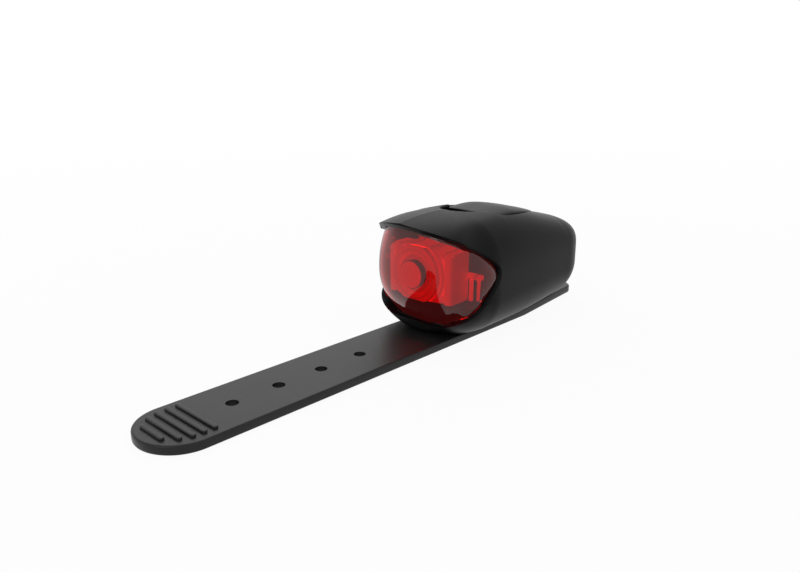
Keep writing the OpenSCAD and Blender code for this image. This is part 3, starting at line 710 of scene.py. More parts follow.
def mesh_piece(name, points, faces, look, smooth=SMOOTH_ANGLE):
    """A named object from points in millimetres, doubles merged and faces turned outwards."""
    mesh = bpy.data.meshes.new(name)
    mesh.from_pydata([Vector(p) * MM for p in points], [], faces)
    model = bmesh.new()
    model.from_mesh(mesh)
    bmesh.ops.remove_doubles(model, verts=model.verts, dist=0.002 * MM)
    bmesh.ops.dissolve_degenerate(model, edges=model.edges, dist=0.0005 * MM)
    bmesh.ops.recalc_face_normals(model, faces=model.faces)
    model.to_mesh(mesh)
    model.free()
    return dress(name, mesh, look, smooth)


def dress(name, mesh, look, smooth=SMOOTH_ANGLE):
    """A named object from a finished mesh, smooth up to an angle, with its finish."""
    mesh.polygons.foreach_set("use_smooth", [True] * len(mesh.polygons))
    mesh.set_sharp_from_angle(angle=math.radians(smooth))
    mesh.materials.clear()
    mesh.materials.append(FINISHES[look])
    return show(name, mesh)


def wrap(columns, closed=True):
    """Points and quads of a skin through columns of equal length."""
    rows = len(columns[0])
    points = [p for column in columns for p in column]
    faces = []
    spans = len(columns) if closed else len(columns) - 1
    for i in range(spans):
        j = (i + 1) % len(columns)
        for k in range(rows - 1):
            faces.append((i * rows + k, j * rows + k, j * rows + k + 1, i * rows + k + 1))
    return points, faces


def band(low, high, count):
    """Quads between two rings, given by the index of each ring's first point."""
    return [(low + i, low + (i + 1) % count, high + (i + 1) % count, high + i) for i in range(count)]


def mirrored(half):
    """Columns all the way round, from those of a half that starts and ends on the middle plane."""
    far = [[(-x, y, z) for x, y, z in column] for column in half[-2:0:-1]]
    return half + far


def lens_foot(angle):
    """Distance from the spine to the lens face at its lower edge."""
    skin = skin_radius(angle, 0.0, eye_low(angle)) - LENS_SETBACK
    return smooth_min(skin, LENS_CHIN_REACH / max(cosd(angle), 0.2), LENS_CHIN_SOFT)


def lens_radius(angle, z):
    """Outer face of the lens: full at the height of its corners, drawn in towards chin and visor."""
    share = eye_share(min(angle, EYE_ANGLE))
    flat = LENS_FLAT * max(cosd(2 * angle), 0)
    belly = LENS_BELLY - flat - LENS_CORNER_FALL * (1 - share ** LENS_CORNER_POWER)
    if z < LENS_BELLY_Z:
        low = min(eye_low(angle), LENS_BELLY_Z - LEAST_HEIGHT)
        depth = clamp((LENS_BELLY_Z - z) / (LENS_BELLY_Z - low))
        return lerp(belly, min(lens_foot(angle), belly), depth ** LENS_POWERS[0])
    top = max(eye_top(angle), LENS_BELLY_Z + LEAST_HEIGHT)
    height = clamp((z - LENS_BELLY_Z) / (top - LENS_BELLY_Z))
    return lerp(belly, min(lerp(*LENS_TOP, share), belly), height ** LENS_POWERS[1])


def eye_rim(upper):
    """Rim of the lens opening: for each station the lens edge and the housing edge, as angle and height."""
    sparse, dense, corner = EYE_STATIONS
    turns = [EYE_DENSE * i / sparse for i in range(sparse)]
    turns += [EYE_DENSE + (EYE_ANGLE - EYE_DENSE) * math.sin(math.pi / 2 * i / dense) for i in range(dense)]
    turns += [EYE_ANGLE + CORNER_ROUND * math.sin(math.pi / 2 * i / corner) for i in range(corner + 1)]
    heights = [eye_top(a) if upper else eye_low(a) for a in turns]
    flat = [(FRONT_RADIUS * math.radians(a), z) for a, z in zip(turns, heights)]
    rim = []
    for i, (a, z) in enumerate(zip(turns, heights)):
        before = flat[i - 1] if i else (-flat[1][0], flat[1][1])
        after = flat[i + 1] if i + 1 < len(flat) else (flat[i - 1][0], 2 * CORNER_Z - flat[i - 1][1])
        run, rise = after[0] - before[0], after[1] - before[1]
        length = math.hypot(run, rise)
        out = (-rise / length, run / length) if upper else (rise / length, -run / length)
        wide = BEZEL_WIDTH * ramp(a, *BEZEL_GROWS)
        if not upper:
            wide = lerp(-CHIN_RISE, BEZEL_WIDTH, ramp(a, *CHIN_ENDS))
        outer = a + math.degrees(out[0] * wide / FRONT_RADIUS)
        rim.append((a, z, outer, z + out[1] * wide))
    return rim


def seam_stations():
    """Stations past the lens opening, as angle and place along the spine."""
    first = eye_rim(False)[-1][2]
    corner, flank, rear = SEAM_STATIONS
    stations = [(lerp(first, SIDE_ANGLE, i / corner), 0.0) for i in range(1, corner)]
    stations += [(SIDE_ANGLE, i / flank) for i in range(flank + 1)]
    stations += [(lerp(SIDE_ANGLE, 180, i / rear), 1.0) for i in range(1, rear + 1)]
    return stations


def seam_z(along):
    return lerp(CORNER_Z, SEAM_Z, ease(along / SEAM_SETTLES))


def bezel_rows(edge, along, eye, upper):
    """Rows of the rolled edge, from the housing's skin in to the lens edge and behind it."""
    angle, z, outer, outer_z = edge
    outside = skin_radius(outer, along, outer_z)
    if upper:
        outside -= VISOR_UNDERCUT * brow_share(outer, along)
    inside = min(lens_radius(angle, z) - LENS_PROUD, outside) if eye else outside - SEAM_EDGE
    rows = []
    for step in BEZEL_STEPS:
        drawn = step ** BEZEL_ROLL if eye else step
        a = lerp(outer, angle, step)
        rows.append(place(a, along, lerp(outside, inside, drawn), lerp(outer_z, z, step)))
    behind = inside - SEAT_BEHIND if eye else outside - WALL
    rows.append(place(angle, along, behind, z))
    return rows


def all_stations(upper):
    """Edge, place along the spine and whether it is at the lens, for each station of one half."""
    stations = [(edge, 0.0, True) for edge in eye_rim(upper)]
    stations += [((a, seam_z(s), a, seam_z(s)), s, False) for a, s in seam_stations()]
    return stations


def lower_column(edge, along, eye):
    """Section of the lower shell, from the spine under the base round the rim to the spine on the floor."""
    angle, z, outer, outer_z = edge
    belt = belt_z(outer)
    radius = plan_radius(along)
    depth = tuck(outer, along)
    column = [place(outer, along, (radius - depth) * i / BASE_ROWS, BASE_Z) for i in range(BASE_ROWS)]
    reach = 90.0
    if outer_z < belt:
        reach = math.degrees(math.acos(((belt - outer_z) / (belt - BASE_Z)) ** (TUCK_POWER / 2)))
    for i in range(TUCK_ROWS + 1):
        turn = reach * i / TUCK_ROWS
        r = radius - depth * (1 - sind(turn) ** (2 / TUCK_POWER))
        height = belt - (belt - BASE_Z) * max(cosd(turn), 0) ** (2 / TUCK_POWER)
        r = chin_cut(outer, along, height, r) + flare(outer, along, height)
        column.append(place(outer, along, r, height))
    for i in range(1, SIDE_ROWS + 1):
        height = outer_z if outer_z < belt else lerp(belt, outer_z, i / SIDE_ROWS)
        column.append(place(outer, along, skin_radius(outer, along, height), height))
    column += bezel_rows(edge, along, eye, False)
    inner_belt = belt_z(angle)
    for i in range(1, INNER_ROWS + 1):
        height = lerp(z, FLOOR_Z, i / INNER_ROWS)
        t = clamp((inner_belt - height) / (inner_belt - FLOOR_Z))
        drawn = tuck(angle, along) * (1 - (1 - t ** TUCK_POWER) ** (1 / TUCK_POWER))
        r = min(radius - WALL - drawn, skin_radius(angle, along, height) - INNER_WALL)
        if eye:
            r = min(r, lens_radius(angle, z) - SEAT_BEHIND)
        column.append(place(angle, along, r, height))
    floor = radius - WALL - tuck(angle, along)
    for i in range(1, FLOOR_ROWS + 1):
        column.append(place(angle, along, floor * (FLOOR_ROWS - i) / FLOOR_ROWS, FLOOR_Z))
    return column


def upper_column(edge, along, eye):
    """Section of the upper shell, from the spine under the well round rim and crown to the well's floor."""
    angle, z, outer, outer_z = edge
    radius = plan_radius(along)
    inner = []
    jacket = well_reach(WELL_FLOOR, angle, along)
    roof = lens_radius(angle, z) - SEAT_BEHIND if eye else radius - WALL
    for i in range(JACKET_ROWS + 1):
        r = jacket * i / JACKET_ROWS
        x, y, _ = place(angle, along, r, 0)
        inner.append((x, y, crown_at(0, y) - WELL_DEPTH - WELL_FLOOR))
    for i in range(ROOF_ROWS + 1):
        r = lerp(jacket, roof, i / ROOF_ROWS)
        height = max(crown_level(angle, along, min(r / roof, 1) * ROOF_REACH) - ROOF, z + ROOF_LEAST)
        inner.append(place(angle, along, r, height))
    inner.append(place(angle, along, roof, z))
    column = inner + bezel_rows(edge, along, eye, True)[::-1]
    start = skin_radius(outer, along, outer_z)
    well = well_reach(0.0, outer, along)
    rim = well + WELL_EDGE
    tall = max(crown_level(outer, along, start / radius) - outer_z, 0.0)
    under = VISOR_UNDERCUT * brow_share(outer, along)
    for drawn, share in LIP_ROUND:
        column.append(place(outer, along, start - under * drawn, outer_z + tall * share))
    for i in range(CROWN_ROWS + 1):
        r = lerp(rim, start, 1 - (i / CROWN_ROWS) ** CROWN_CROWDING)
        x, y, _ = place(outer, along, r, 0)
        height = crown_level(outer, along, min(r / radius, 1))
        column.append((x, y, max(height, outer_z) + ridge(x, y)))
    top = column[-1][2]
    for drawn, drop in WELL_ROUND:
        column.append(place(outer, along, well + drawn, top - drop))
    wall_top = column[-1][2]
    for i in range(1, WELL_WALL_ROWS + 1):
        x, y, _ = place(outer, along, well, 0)
        column.append((x, y, lerp(wall_top, crown_at(0, y) - WELL_DEPTH, i / WELL_WALL_ROWS)))
    for i in range(1, WELL_FLOOR_ROWS + 1):
        x, y, _ = place(outer, along, well * (WELL_FLOOR_ROWS - i) / WELL_FLOOR_ROWS, 0)
        column.append((x, y, crown_at(0, y) - WELL_DEPTH))
    return column


def make_shells():
    lower = mirrored([lower_column(*station) for station in all_stations(False)])
    lower_piece = mesh_piece("lower_shell_skin", *wrap(lower), "housing")
    upper = mirrored([upper_column(*station) for station in all_stations(True)])
    upper_piece = mesh_piece("upper_shell_skin", *wrap(upper), "housing")
    pierce(upper_piece)
    mark_crease(upper_piece.data)
    for piece, node in ((lower_piece, "lower_shell"), (upper_piece, "upper_shell")):
        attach(piece, "light")
        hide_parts(node)


def mark_crease(mesh):
    """Keeps the crease ahead of the well sharp."""
    sharp = mesh.attributes["sharp_edge"].data
    for edge in mesh.edges:
        ends = [mesh.vertices[v].co / MM for v in edge.vertices]
        if all(abs(p.x) < 0.001 and p.y < CREASE_END_Y and p.z > CREASE_LOW_Z for p in ends):
            sharp[edge.index].value = True


def lens_column(angle):
    """Closed section of the lens: domed face in a low frame, flange and back."""
    low = eye_low(angle) + LENS_GAP
    top = max(eye_top(angle) - LENS_GAP, low + 0.05)
    tall = top - low
    frame_width = min(LENS_FRAME, tall * 0.3)
    section = [(lens_radius(angle, low) - LENS_WALL, low)]
    for i in range(LENS_FACE_ROWS + 1):
        z = lerp(low, top, 0.5 - 0.5 * math.cos(math.pi * i / LENS_FACE_ROWS))
        edge = ease(min(z - low, top - z) / frame_width)
        section.append((lens_radius(angle, z) - LENS_FRAME_DEPTH * (1 - edge), z))
    wide, deep = FLANGE
    wide = min(wide, tall * 0.3)
    for level, z in ((top, top), (top, top + wide)):
        section.append((lens_radius(angle, level) - LENS_WALL, z))
    section.append((lens_radius(angle, top) - LENS_WALL - deep, top + wide))
    for i in range(LENS_BACK_ROWS + 1):
        z = lerp(top - frame_width, low + frame_width, 0.5 - 0.5 * math.cos(math.pi * i / LENS_BACK_ROWS))
        section.append((lens_radius(angle, z) - LENS_WALL, z))
    section.append((lens_radius(angle, low) - LENS_WALL - deep, low - wide))
    section.append((lens_radius(angle, low) - LENS_WALL, low - wide))
    section.append(section[0])
    return [place(angle, 0.0, r, z) for r, z in section]


def make_lens():
    turns = [edge[0] for edge in eye_rim(True)]
    half = [lens_column(a) for a in turns]
    far = [[(-x, y, z) for x, y, z in column] for column in half[:0:-1]]
    points, faces = wrap(far + half, closed=False)
    rows = len(half[0])
    last = len(points) - rows
    faces.append(tuple(range(rows - 1)))
    faces.append(tuple(range(last + rows - 2, last - 1, -1)))
    lens = mesh_piece("red_lens_shell", points, faces, "lens_red")
    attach(lens, "light")
    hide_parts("lens")


def pad_top(x, y):
    """Height of the pad's middle face, which dips below the crown at its front end."""
    return crown_at(x, y) + lerp(-BUTTON_SUNK, BUTTON_PROUD, ramp(y, BUTTON[0], BUTTON_RISE))


def add_rod(points, faces, radius, low, high):
    """A closed upright rod on the button's axis."""
    foot = len(points)
    head = foot + STEM_SIDES
    for z in (low, high):
        points += [(radius * sind(a), STEM_Y + radius * cosd(a), z) for a in full_turn(STEM_SIDES)]
    faces += band(foot, head, STEM_SIDES)
    faces.append(tuple(range(head - 1, foot - 1, -1)))
    faces.append(tuple(range(head, head + STEM_SIDES)))


def pierce(piece):
    """Cuts the hole for the button's stem through the floor of the well."""
    points, faces = [], []
    level = crown_at(0, STEM_Y) - WELL_DEPTH
    add_rod(points, faces, STEM_HOLE, level - 2 * WELL_FLOOR, level + WELL_FLOOR)
    cutter = mesh_piece("stem_cutter", points, faces, "housing")
    hole = piece.modifiers.new("stem_hole", "BOOLEAN")
    hole.operation = "DIFFERENCE"
    hole.solver = "EXACT"
    hole.object = cutter
    mesh = applied(piece, hole)
    bpy.data.objects.remove(cutter)
    mesh.set_sharp_from_angle(angle=math.radians(SMOOTH_ANGLE))
    piece.data = mesh


def make_button():
    """Domed leaf-shaped pad with a skirt that goes down into the well, and its stem."""
    columns = []
    for turn in full_turn(PAD_COLUMNS, 0.5):
        x, y = leaf_point(BUTTON, turn)
        column = []
        for s in PAD_FOOT:
            px, py = leaf_point(BUTTON, turn, s)
            column.append((px, py, crown_at(0, py) - BUTTON_SKIRT))
        column.append((x, y, pad_top(x, y) - BUTTON_DOME - BUTTON_EDGE))
        for s in PAD_FACE:
            px, py = leaf_point(BUTTON, turn, s)
            share = (1 - s ** 4) ** (1 / 3)
            column.append((px, py, pad_top(px, py) - BUTTON_DOME * (1 - share)))
        columns.append(column)
    points, faces = wrap(columns)
    add_rod(points, faces, STEM_RADIUS, STEM_LOW_Z, crown_at(0, STEM_Y) - BUTTON_SKIRT + STEM_SUNK)
    pad = mesh_piece("button_pad_skin", points, faces, "button_pad")
    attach(pad, "button")
    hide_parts("button")


def add_box(points, faces, low, high, edge):
    """A box with softened edges, as points and faces."""
    (x0, y0, z0), (x1, y1, z1) = low, high
    rings = []
    soft = edge * 0.3
    for drawn, y in ((edge, y1), (0.0, y1 - edge), (0.0, y0 + edge), (soft, y0 + soft), (edge, y0)):
        a, b, c, d = x0 + drawn, x1 - drawn, z0 + drawn, z1 - drawn
        cut = edge * 0.7
        rings.append([(a + cut, y, c), (b - cut, y, c), (b, y, c + cut), (b, y, d - cut),
                      (b - cut, y, d), (a + cut, y, d), (a, y, d - cut), (a, y, c + cut)])
    first = len(points)
    for ring in rings:
        points.extend(ring)
    count = len(rings[0])
    last = first + (len(rings) - 1) * count
    for ring in range(first, last, count):
        faces += band(ring, ring + count, count)
    faces.append(tuple(range(first, first + count)))
    faces.append(tuple(range(last + count - 1, last - 1, -1)))


COLLIMATOR = (
    (0.0, -21.0), (7.2, -21.0), (7.2, -26.0), (7.05, -26.2), (6.5, -26.3), (6.45, -25.8), (6.25, -25.8),
    (6.2, -27.0), (6.05, -27.25), (5.2, -27.4), (4.5, -27.35), (4.35, -27.2), (4.3, -26.8), (2.85, -26.8),
    (2.8, -28.3), (2.6, -28.6), (1.5, -28.7), (0.0, -28.75),
)
# Section of a thin black sleeve on the middle pillar's side wall, as radius and y: painted shade where that
# wall lies in shade
PILLAR_SHADE_SLEEVE = ((2.83, -26.7), (2.95, -26.7), (2.95, -28.2), (2.83, -28.2))
FIN = ((8.2, -21.3, 14.5), (12.0, -19.9, 15.5))
RIBS = (((9.3, -21.2, 9.8), (10.0, -20.4, 14.4)), ((10.9, -20.8, 10.0), (11.5, -20.1, 14.4)))


def make_optic():
    """Light guide behind the lens: block, stepped collimator, side fins; the flutes come from a node tree."""
    points, faces = [], []
    low = (-OPTIC_HALF, OPTIC_FACE_Y, OPTIC_LOW_Z)
    high = (OPTIC_HALF, OPTIC_BACK_Y, OPTIC_HIGH_Z)
    add_box(points, faces, low, high, OPTIC_EDGE)
    columns = []
    for turn in full_turn(OPTIC_SIDES):
        columns.append([(r * sind(turn), y, clamp(OPTIC_Z + r * cosd(turn), OPTIC_LOW_Z, BARREL_HIGH_Z))
                        for r, y in COLLIMATOR])
    ring_points, ring_faces = wrap(columns)
    offset = len(points)
    points += ring_points
    faces += [tuple(offset + v for v in face) for face in ring_faces]
    for side in (-1, 1):
        for (x0, y0, z0), (x1, y1, z1) in (FIN, *RIBS):
            near, far = sorted((side * x0, side * x1))
            add_box(points, faces, (near, y0, z0), (far, y1, z1), FIN_EDGE)
    optic = mesh_piece("light_guide", points, faces, "optic_red", 28.0)
    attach(optic, "light")
    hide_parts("optic")
    rows = []
    # Black sleeve round the middle pillar: painted shade on its side wall
    for turn in full_turn(OPTIC_SIDES):
        rows.append([(r * sind(turn), y, OPTIC_Z + r * cosd(turn)) for r, y in PILLAR_SHADE_SLEEVE + PILLAR_SHADE_SLEEVE[:1]])
    shade_sleeve = mesh_piece("pillar_shade_sleeve", *wrap(rows), "inner_black")
    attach(shade_sleeve, "light")
    fluted = make_flutes()
    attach(fluted, "light")


def bake(name, host, tree, values, look, smooth=SMOOTH_ANGLE):
    """Turns a host with a node tree on it into a plain dressed piece."""
    modifier = host.modifiers.new(name, "NODES")
    modifier.node_group = tree
    for item in tree.interface.items_tree:
        if item.item_type == "SOCKET" and item.in_out == "INPUT" and item.name in values:
            modifier[item.identifier] = values[item.name]
    mesh = applied(host, modifier)
    bpy.data.objects.remove(host)
    mesh.name = name
    return dress(name, mesh, look, smooth)


def node_tree(name, values):
    """A geometry tree with named inputs, and the board and the inputs' wires to build it with."""
    tree = bpy.data.node_groups.new(name, "GeometryNodeTree")
    tree.interface.new_socket("Geometry", in_out="INPUT", socket_type="NodeSocketGeometry")
    kinds = {int: "NodeSocketInt", float: "NodeSocketFloat", bpy.types.Material: "NodeSocketMaterial"}
    for label, value in values.items():
        tree.interface.new_socket(label, in_out="INPUT", socket_type=kinds[type(value)])
    tree.interface.new_socket("Geometry", in_out="OUTPUT", socket_type="NodeSocketGeometry")
    board = Board(tree)
    given = {label: board.make("NodeGroupInput", {}, {}, label) for label in ("Geometry", *values)}
    return tree, board, given


def close_tree(board, geometry, material):
    """Ends a tree: real meshes with their material."""
    real = board.make("GeometryNodeRealizeInstances", {}, {"Geometry": geometry})
    painted = board.make("GeometryNodeSetMaterial", {}, {"Geometry": real, "Material": material})
    board.make("NodeGroupOutput", {}, {"Geometry": painted})


def flute_host():
    """One upright half-round flute with a domed top, foot on the origin."""
    half = FLUTE_WIDTH / 2
    dome = half * FLUTE_DEPTH
    shaft = OPTIC_HIGH_Z - OPTIC_LOW_Z - dome
    rows = [(0.0, 0.0), (0.9, 0.0), (1.0, 0.1)]
    rows += [(1.0, lerp(0.3, shaft, i / 4)) for i in range(5)]
    rows += [(cosd(a), shaft + dome * sind(a)) for a in (25, 50, 70, 90)]
    columns = []
    for turn in full_turn(FLUTE_SIDES):
        columns.append([(half * s * cosd(turn), FLUTE_DEPTH * half * s * sind(turn), z) for s, z in rows])
    return mesh_piece("flute_host", *wrap(columns), "optic_red")


def make_flutes():
    """Rows of upright flutes at both sides of the collimator."""
    values = {
        "Count": FLUTES,
        "Pitch": FLUTE_WIDTH * MM,
        "Outer X": (OPTIC_HALF - FLUTE_WIDTH / 2) * MM,
        "Front Y": OPTIC_FACE_Y * MM,
        "Low Z": OPTIC_LOW_Z * MM,
        "Material": FINISHES["optic_red"],
    }
    tree, board, given = node_tree("flute_rows", values)
    rows = []
    for side in (-1.0, 1.0):
        start = board.vector(given["Outer X"] * side, given["Front Y"], given["Low Z"])
        step = board.vector(given["Pitch"] * -side)
        sockets = {"Count": given["Count"], "Start Location": start, "Offset": step}
        rows.append(board.make("GeometryNodeMeshLine", {}, sockets))
    joined = board.make("GeometryNodeJoinGeometry", {}, {0: rows})
    placed = board.make("GeometryNodeInstanceOnPoints", {}, {"Points": joined, "Instance": given["Geometry"]})
    close_tree(board, placed, given["Material"])
    return bake("light_guide_flutes", flute_host(), tree, values, "optic_red")


def strap_outline():
    """Outline of the strap seen from above, anticlockwise, as points on the plan."""
    tip = [90 * i / 40 for i in range(41)]
    near = [(STRAP_HALF * sind(a), TIP_Y - STRAP_HALF * cosd(a)) for a in tip]
    near.append((STRAP_HALF, TAPER_Y))
    corner_x, corner_y = TAB_HALF - TAB_CORNER, TAB_END_Y - TAB_CORNER
    near.append((TAB_HALF, corner_y))
    near += [(corner_x + TAB_CORNER * cosd(a), corner_y + TAB_CORNER * sind(a)) for a in range(10, 91, 10)]
    far = [(-x, y) for x, y in near[::-1] if x > 0.001]
    return near + far


def inset(outline, depth):
    """Outline drawn in along its normals."""
    drawn = []
    for i, (x, y) in enumerate(outline):
        (ax, ay), (bx, by) = outline[i - 1], outline[(i + 1) % len(outline)]
        run, rise = bx - ax, by - ay
        length = math.hypot(run, rise)
        drawn.append((x - rise / length * depth, y + run / length * depth))
    return drawn


def join_rings(model, lower, upper):
    for quad in zip(lower, lower[1:] + lower[:1], upper[1:] + upper[:1], upper):
        model.faces.new(quad)


def strap_model():
    """Whole strap as one closed mesh: rounded edges, plain holes."""
    outline = strap_outline()
    levels = [(STRAP_EDGE * (1 - cosd(a)), STRAP_EDGE * (1 - sind(a))) for a in (90, 67.5, 45, 22.5, 0)]
    profile = [(STRAP_EDGE + 0.1, 0.0)]
    profile += [(d, h) for d, h in levels]
    profile += [(d, STRAP_THICK - h) for d, h in levels[::-1]]
    profile.append((STRAP_EDGE + 0.1, STRAP_THICK))
    model = bmesh.new()
    rings = []
    for depth, height in profile:
        rings.append([model.verts.new(Vector((x, y, height)) * MM) for x, y in inset(outline, depth)])
    for lower, upper in zip(rings, rings[1:]):
        join_rings(model, lower, upper)
    caps = {0: [rings[0]], 1: [rings[-1]]}
    bores = [(HOLE_FIRST_Y - HOLE_PITCH * i, HOLE_RADIUS) for i in range(HOLES)]
    bores.append((PEG_Y, PEG_NECK))
    for y, radius in bores:
        walls = []
        circle = [(radius * sind(a), y + radius * cosd(a)) for a in full_turn(HOLE_SIDES)]
        for height in (0.0, STRAP_THICK):
            walls.append([model.verts.new(Vector((*spot, height)) * MM) for spot in circle])
        join_rings(model, *walls)
        caps[0].append(walls[0])
        caps[1].append(walls[1])
    for loops in caps.values():
        edges = []
        for loop in loops:
            edges += [model.edges.get((loop[i - 1], loop[i])) for i in range(len(loop))]
        bmesh.ops.triangle_fill(model, edges=edges, use_beauty=True)
    bmesh.ops.recalc_face_normals(model, faces=model.faces)
    return model


def slice_across(model, y, keep=None):
    """Cuts the strap across at y; keep names the side that stays, tip or tab, and closes the cut."""
    geometry = model.verts[:] + model.edges[:] + model.faces[:]
    bmesh.ops.bisect_plane(model, geom=geometry, dist=1e-7, plane_co=(0, y * MM, 0), plane_no=(0, 1, 0),
                           clear_outer=keep == "tip", clear_inner=keep == "tab")
    if keep:
        open_edges = [e for e in model.edges if e.is_boundary]
        bmesh.ops.holes_fill(model, edges=open_edges, sides=0)


def make_strap():
    """Strap in pieces that each cross one bend, with their seams inside the links."""
    whole = strap_model()
    for k in range(LINKS):
        hinge = HINGE_FIRST_Y - HOLE_PITCH * k
        reach = LAST_BEND_REACH if k == LINKS - 1 else BEND_REACH
        model = whole.copy()
        if k < LINKS - 1:
            slice_across(model, hinge - SEAM_PAST_HINGE, "tab")
        if k:
            slice_across(model, hinge + HOLE_PITCH - SEAM_PAST_HINGE, "tip")
        steps = math.ceil(2 * reach / BEND_STEP)
        for i in range(steps + 1):
            slice_across(model, hinge - reach + 2 * reach * i / steps)
        name = f"strap_run_{k + 1}"
        mesh = bpy.data.meshes.new(name)
        model.to_mesh(mesh)
        model.free()
        piece = dress(name, mesh, "strap", 40.0)
        nodes = ["strap_saddle"] + [f"strap_link_{i}" for i in range(1, LINKS)]
        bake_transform(piece)
        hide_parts(nodes[k], *(["strap_tip"] if k == LINKS - 1 else []))
    whole.free()
    bars = make_bars()
    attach(bars, "strap_end")


def bar_host():
    """Round end pair of one grip bar, foot on the origin; the tree pulls its two ends apart."""
    half = BAR_WIDTH / 2
    rows = [(0.0, -0.1), (1.0, -0.1), (1.0, BAR_HEIGHT * 0.55)]
    rows += [(0.94, BAR_HEIGHT * 0.78), (0.82, BAR_HEIGHT * 0.93), (0.62, BAR_HEIGHT), (0.0, BAR_HEIGHT)]
    columns = []
    for turn in full_turn(BAR_SIDES, 0.5):
        radii = [(max(half * s, BAR_POLE), z) for s, z in rows]
        columns.append([(r * cosd(turn), r * sind(turn), z) for r, z in radii])
    points, faces = wrap(columns)
    foot = range(0, BAR_SIDES * len(rows), len(rows))
    faces.append(tuple(foot))
    faces.append(tuple(i + len(rows) - 1 for i in foot[::-1]))
    mesh = bpy.data.meshes.new("bar_host")
    mesh.from_pydata([Vector(p) * MM for p in points], [], faces)
    return show("bar_host", mesh)


def make_bars():
    """Grip bars across the tip, each as long as the round end lets it be."""
    values = {
        "Count": BARS,
        "Pitch": BAR_PITCH * MM,
        "First Y": BAR_FIRST_Y * MM,
        "Top Z": STRAP_THICK * MM,
        "Round Y": TIP_Y * MM,
        "Round Radius": (STRAP_HALF - BAR_MARGIN) * MM,
        "End Radius": BAR_WIDTH / 2 * MM,
        "Material": FINISHES["strap"],
    }
    tree, board, given = node_tree("grip_bar_rows", values)
    start = board.vector(y=given["First Y"], z=given["Top Z"])
    step = board.vector(y=given["Pitch"])
    sockets = {"Count": given["Count"], "Start Location": start, "Offset": step}
    line = board.make("GeometryNodeMeshLine", {}, sockets)
    placed = board.make("GeometryNodeInstanceOnPoints", {}, {"Points": line, "Instance": given["Geometry"]})
    real = board.make("GeometryNodeRealizeInstances", {}, {"Geometry": placed})
    where = board.make("GeometryNodeInputPosition", {}, {})
    x = board.make("ShaderNodeSeparateXYZ", {}, {0: where}, 0)
    y = board.make("ShaderNodeSeparateXYZ", {}, {0: where}, 1)
    row = board.math("ROUND", (y - given["First Y"]) / given["Pitch"])
    ahead = given["First Y"] + row * given["Pitch"] - given["Round Y"]
    short = board.math("MINIMUM", ahead, 0.0)
    reach = (given["Round Radius"] * given["Round Radius"] - short * short) ** 0.5 - given["End Radius"]
    side = board.math("SIGN", x)
    shift = board.vector(side * reach)
    spread = board.make("GeometryNodeSetPosition", {}, {"Geometry": real, "Offset": shift})
    close_tree(board, spread, given["Material"])
    return bake("grip_bars", bar_host(), tree, values, "strap", 50.0)


CAD_FINISHES = {
    "seal": ("seam_seal", "lens_gasket", "button_seal"),
    "steel": ("shell_screw", "frame_screws", "board_screws"),
    "inner_black": ("optic_frame", "switch_body", "switch_plunger", "button_clip", "board_parts"),
    "led_resin": ("led",),
    "board_green": ("led_board", "main_board"),
    "tray_white": ("cell_tray",),
    "cell_can": ("cell_lower", "cell_upper"),
    "contact": ("negative_contact", "positive_contact"),
    "strap": ("closing_peg",),
}


def dress_cad_nodes():
    """Gives the solids that stay in view their finishes."""
    for look, nodes in CAD_FINISHES.items():
        for node in nodes:
            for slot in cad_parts[node].material_slots:
                slot.material = FINISHES[look]


def seen_directly(board):
    """One for what the camera sees, also in gloss and through the lens."""
    labels = ("Is Camera Ray", "Is Glossy Ray", "Is Transmission Ray")
    camera, glossy, passed = (board.make("ShaderNodeLightPath", {}, {}, label) for label in labels)
    return board.math("MINIMUM", camera + glossy + passed, 1.0)


def make_surround():
    """White surround, plain as a light and full white where it is seen."""
    world = bpy.data.worlds.new("white_surround")
    board = blank_board(world)
    strength = WORLD_LEVEL + seen_directly(board) * (1 - WORLD_LEVEL)
    sky = board.make("ShaderNodeBackground", {}, {"Color": (1.0, 1.0, 1.0, 1.0), "Strength": strength})
    board.make("ShaderNodeOutputWorld", {}, {"Surface": sky})
    bpy.context.scene.world = world


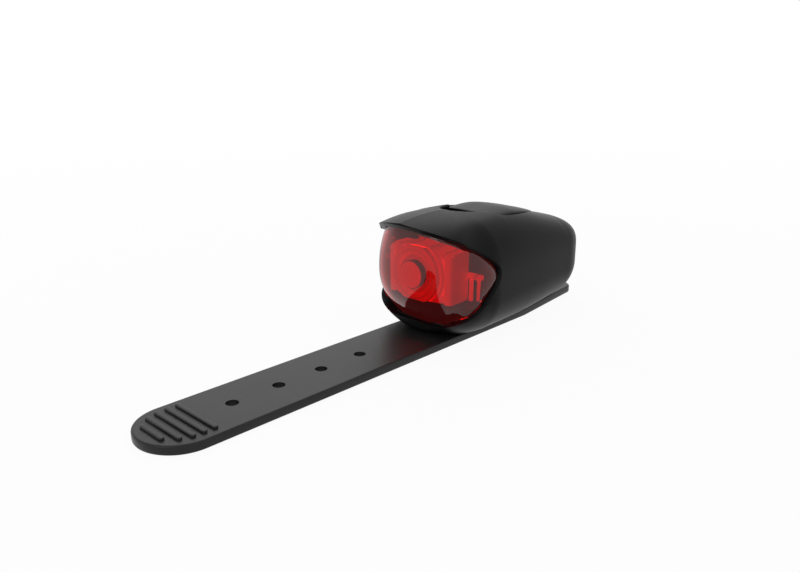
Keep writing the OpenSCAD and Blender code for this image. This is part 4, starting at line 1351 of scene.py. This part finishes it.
def make_floor():
    """White floor that keeps a faint shadow near the object."""
    material = bpy.data.materials.new("white_floor")
    board = blank_board(material)
    paper = board.make("ShaderNodeBsdfDiffuse", {}, {"Color": (0.88, 0.88, 0.88, 1.0)})
    lit = board.make("ShaderNodeEmission", {}, {"Color": (1.0, 1.0, 1.0, 1.0), "Strength": 1.0})
    away = board.make("ShaderNodeVectorMath", {"operation": "LENGTH"}, {0: board.spot()}, "Value")
    plain = FLOOR_BRIGHT + board.sharpen(away, *FLOOR_FADE) * (1 - FLOOR_BRIGHT)
    mixed = board.make("ShaderNodeMixShader", {}, {0: seen_directly(board) * plain, 1: paper, 2: lit})
    board.make("ShaderNodeOutputMaterial", {}, {"Surface": mixed})
    mesh = bpy.data.meshes.new("floor")
    corners = ((-1, -1), (1, -1), (1, 1), (-1, 1))
    mesh.from_pydata([(x * FLOOR_HALF, y * FLOOR_HALF, -FLOOR_DROP) for x, y in corners], [], [(0, 1, 2, 3)])
    mesh.materials.append(material)
    floor = show("floor", mesh)


def make_camera():
    """Camera at the photograph's angle."""
    optics = bpy.data.cameras.new("camera")
    optics.lens = 35.0
    optics.sensor_width = 36.0
    optics.sensor_fit = "HORIZONTAL"
    optics.clip_start = 0.005
    camera = show("camera", optics)
    right = Vector(CAMERA_RIGHT).normalized()
    back = Vector(CAMERA_BACK).normalized()
    up = back.cross(right).normalized()
    turn = Matrix((right, up, back)).transposed()
    camera.matrix_world = Matrix.Translation(CAMERA_PLACE) @ turn.to_4x4()
    bpy.context.scene.camera = camera
    bpy.context.scene.view_settings.view_transform = "Standard"


def add_lamp(name, spot, target, size, power):
    """Square soft light at a spot, turned to a target."""
    data = bpy.data.lights.new(name, "AREA")
    data.size = size
    data.energy = power
    lamp = show(name, data)
    lamp.location = spot
    lamp.rotation_euler = (Vector(target) - Vector(spot)).to_track_quat("-Z", "Y").to_euler()


make_surround()
make_floor()
for lamp_values in LAMPS:
    add_lamp(*lamp_values)
make_camera()
make_shells()
make_lens()
make_button()
make_optic()
make_strap()
dress_cad_nodes()
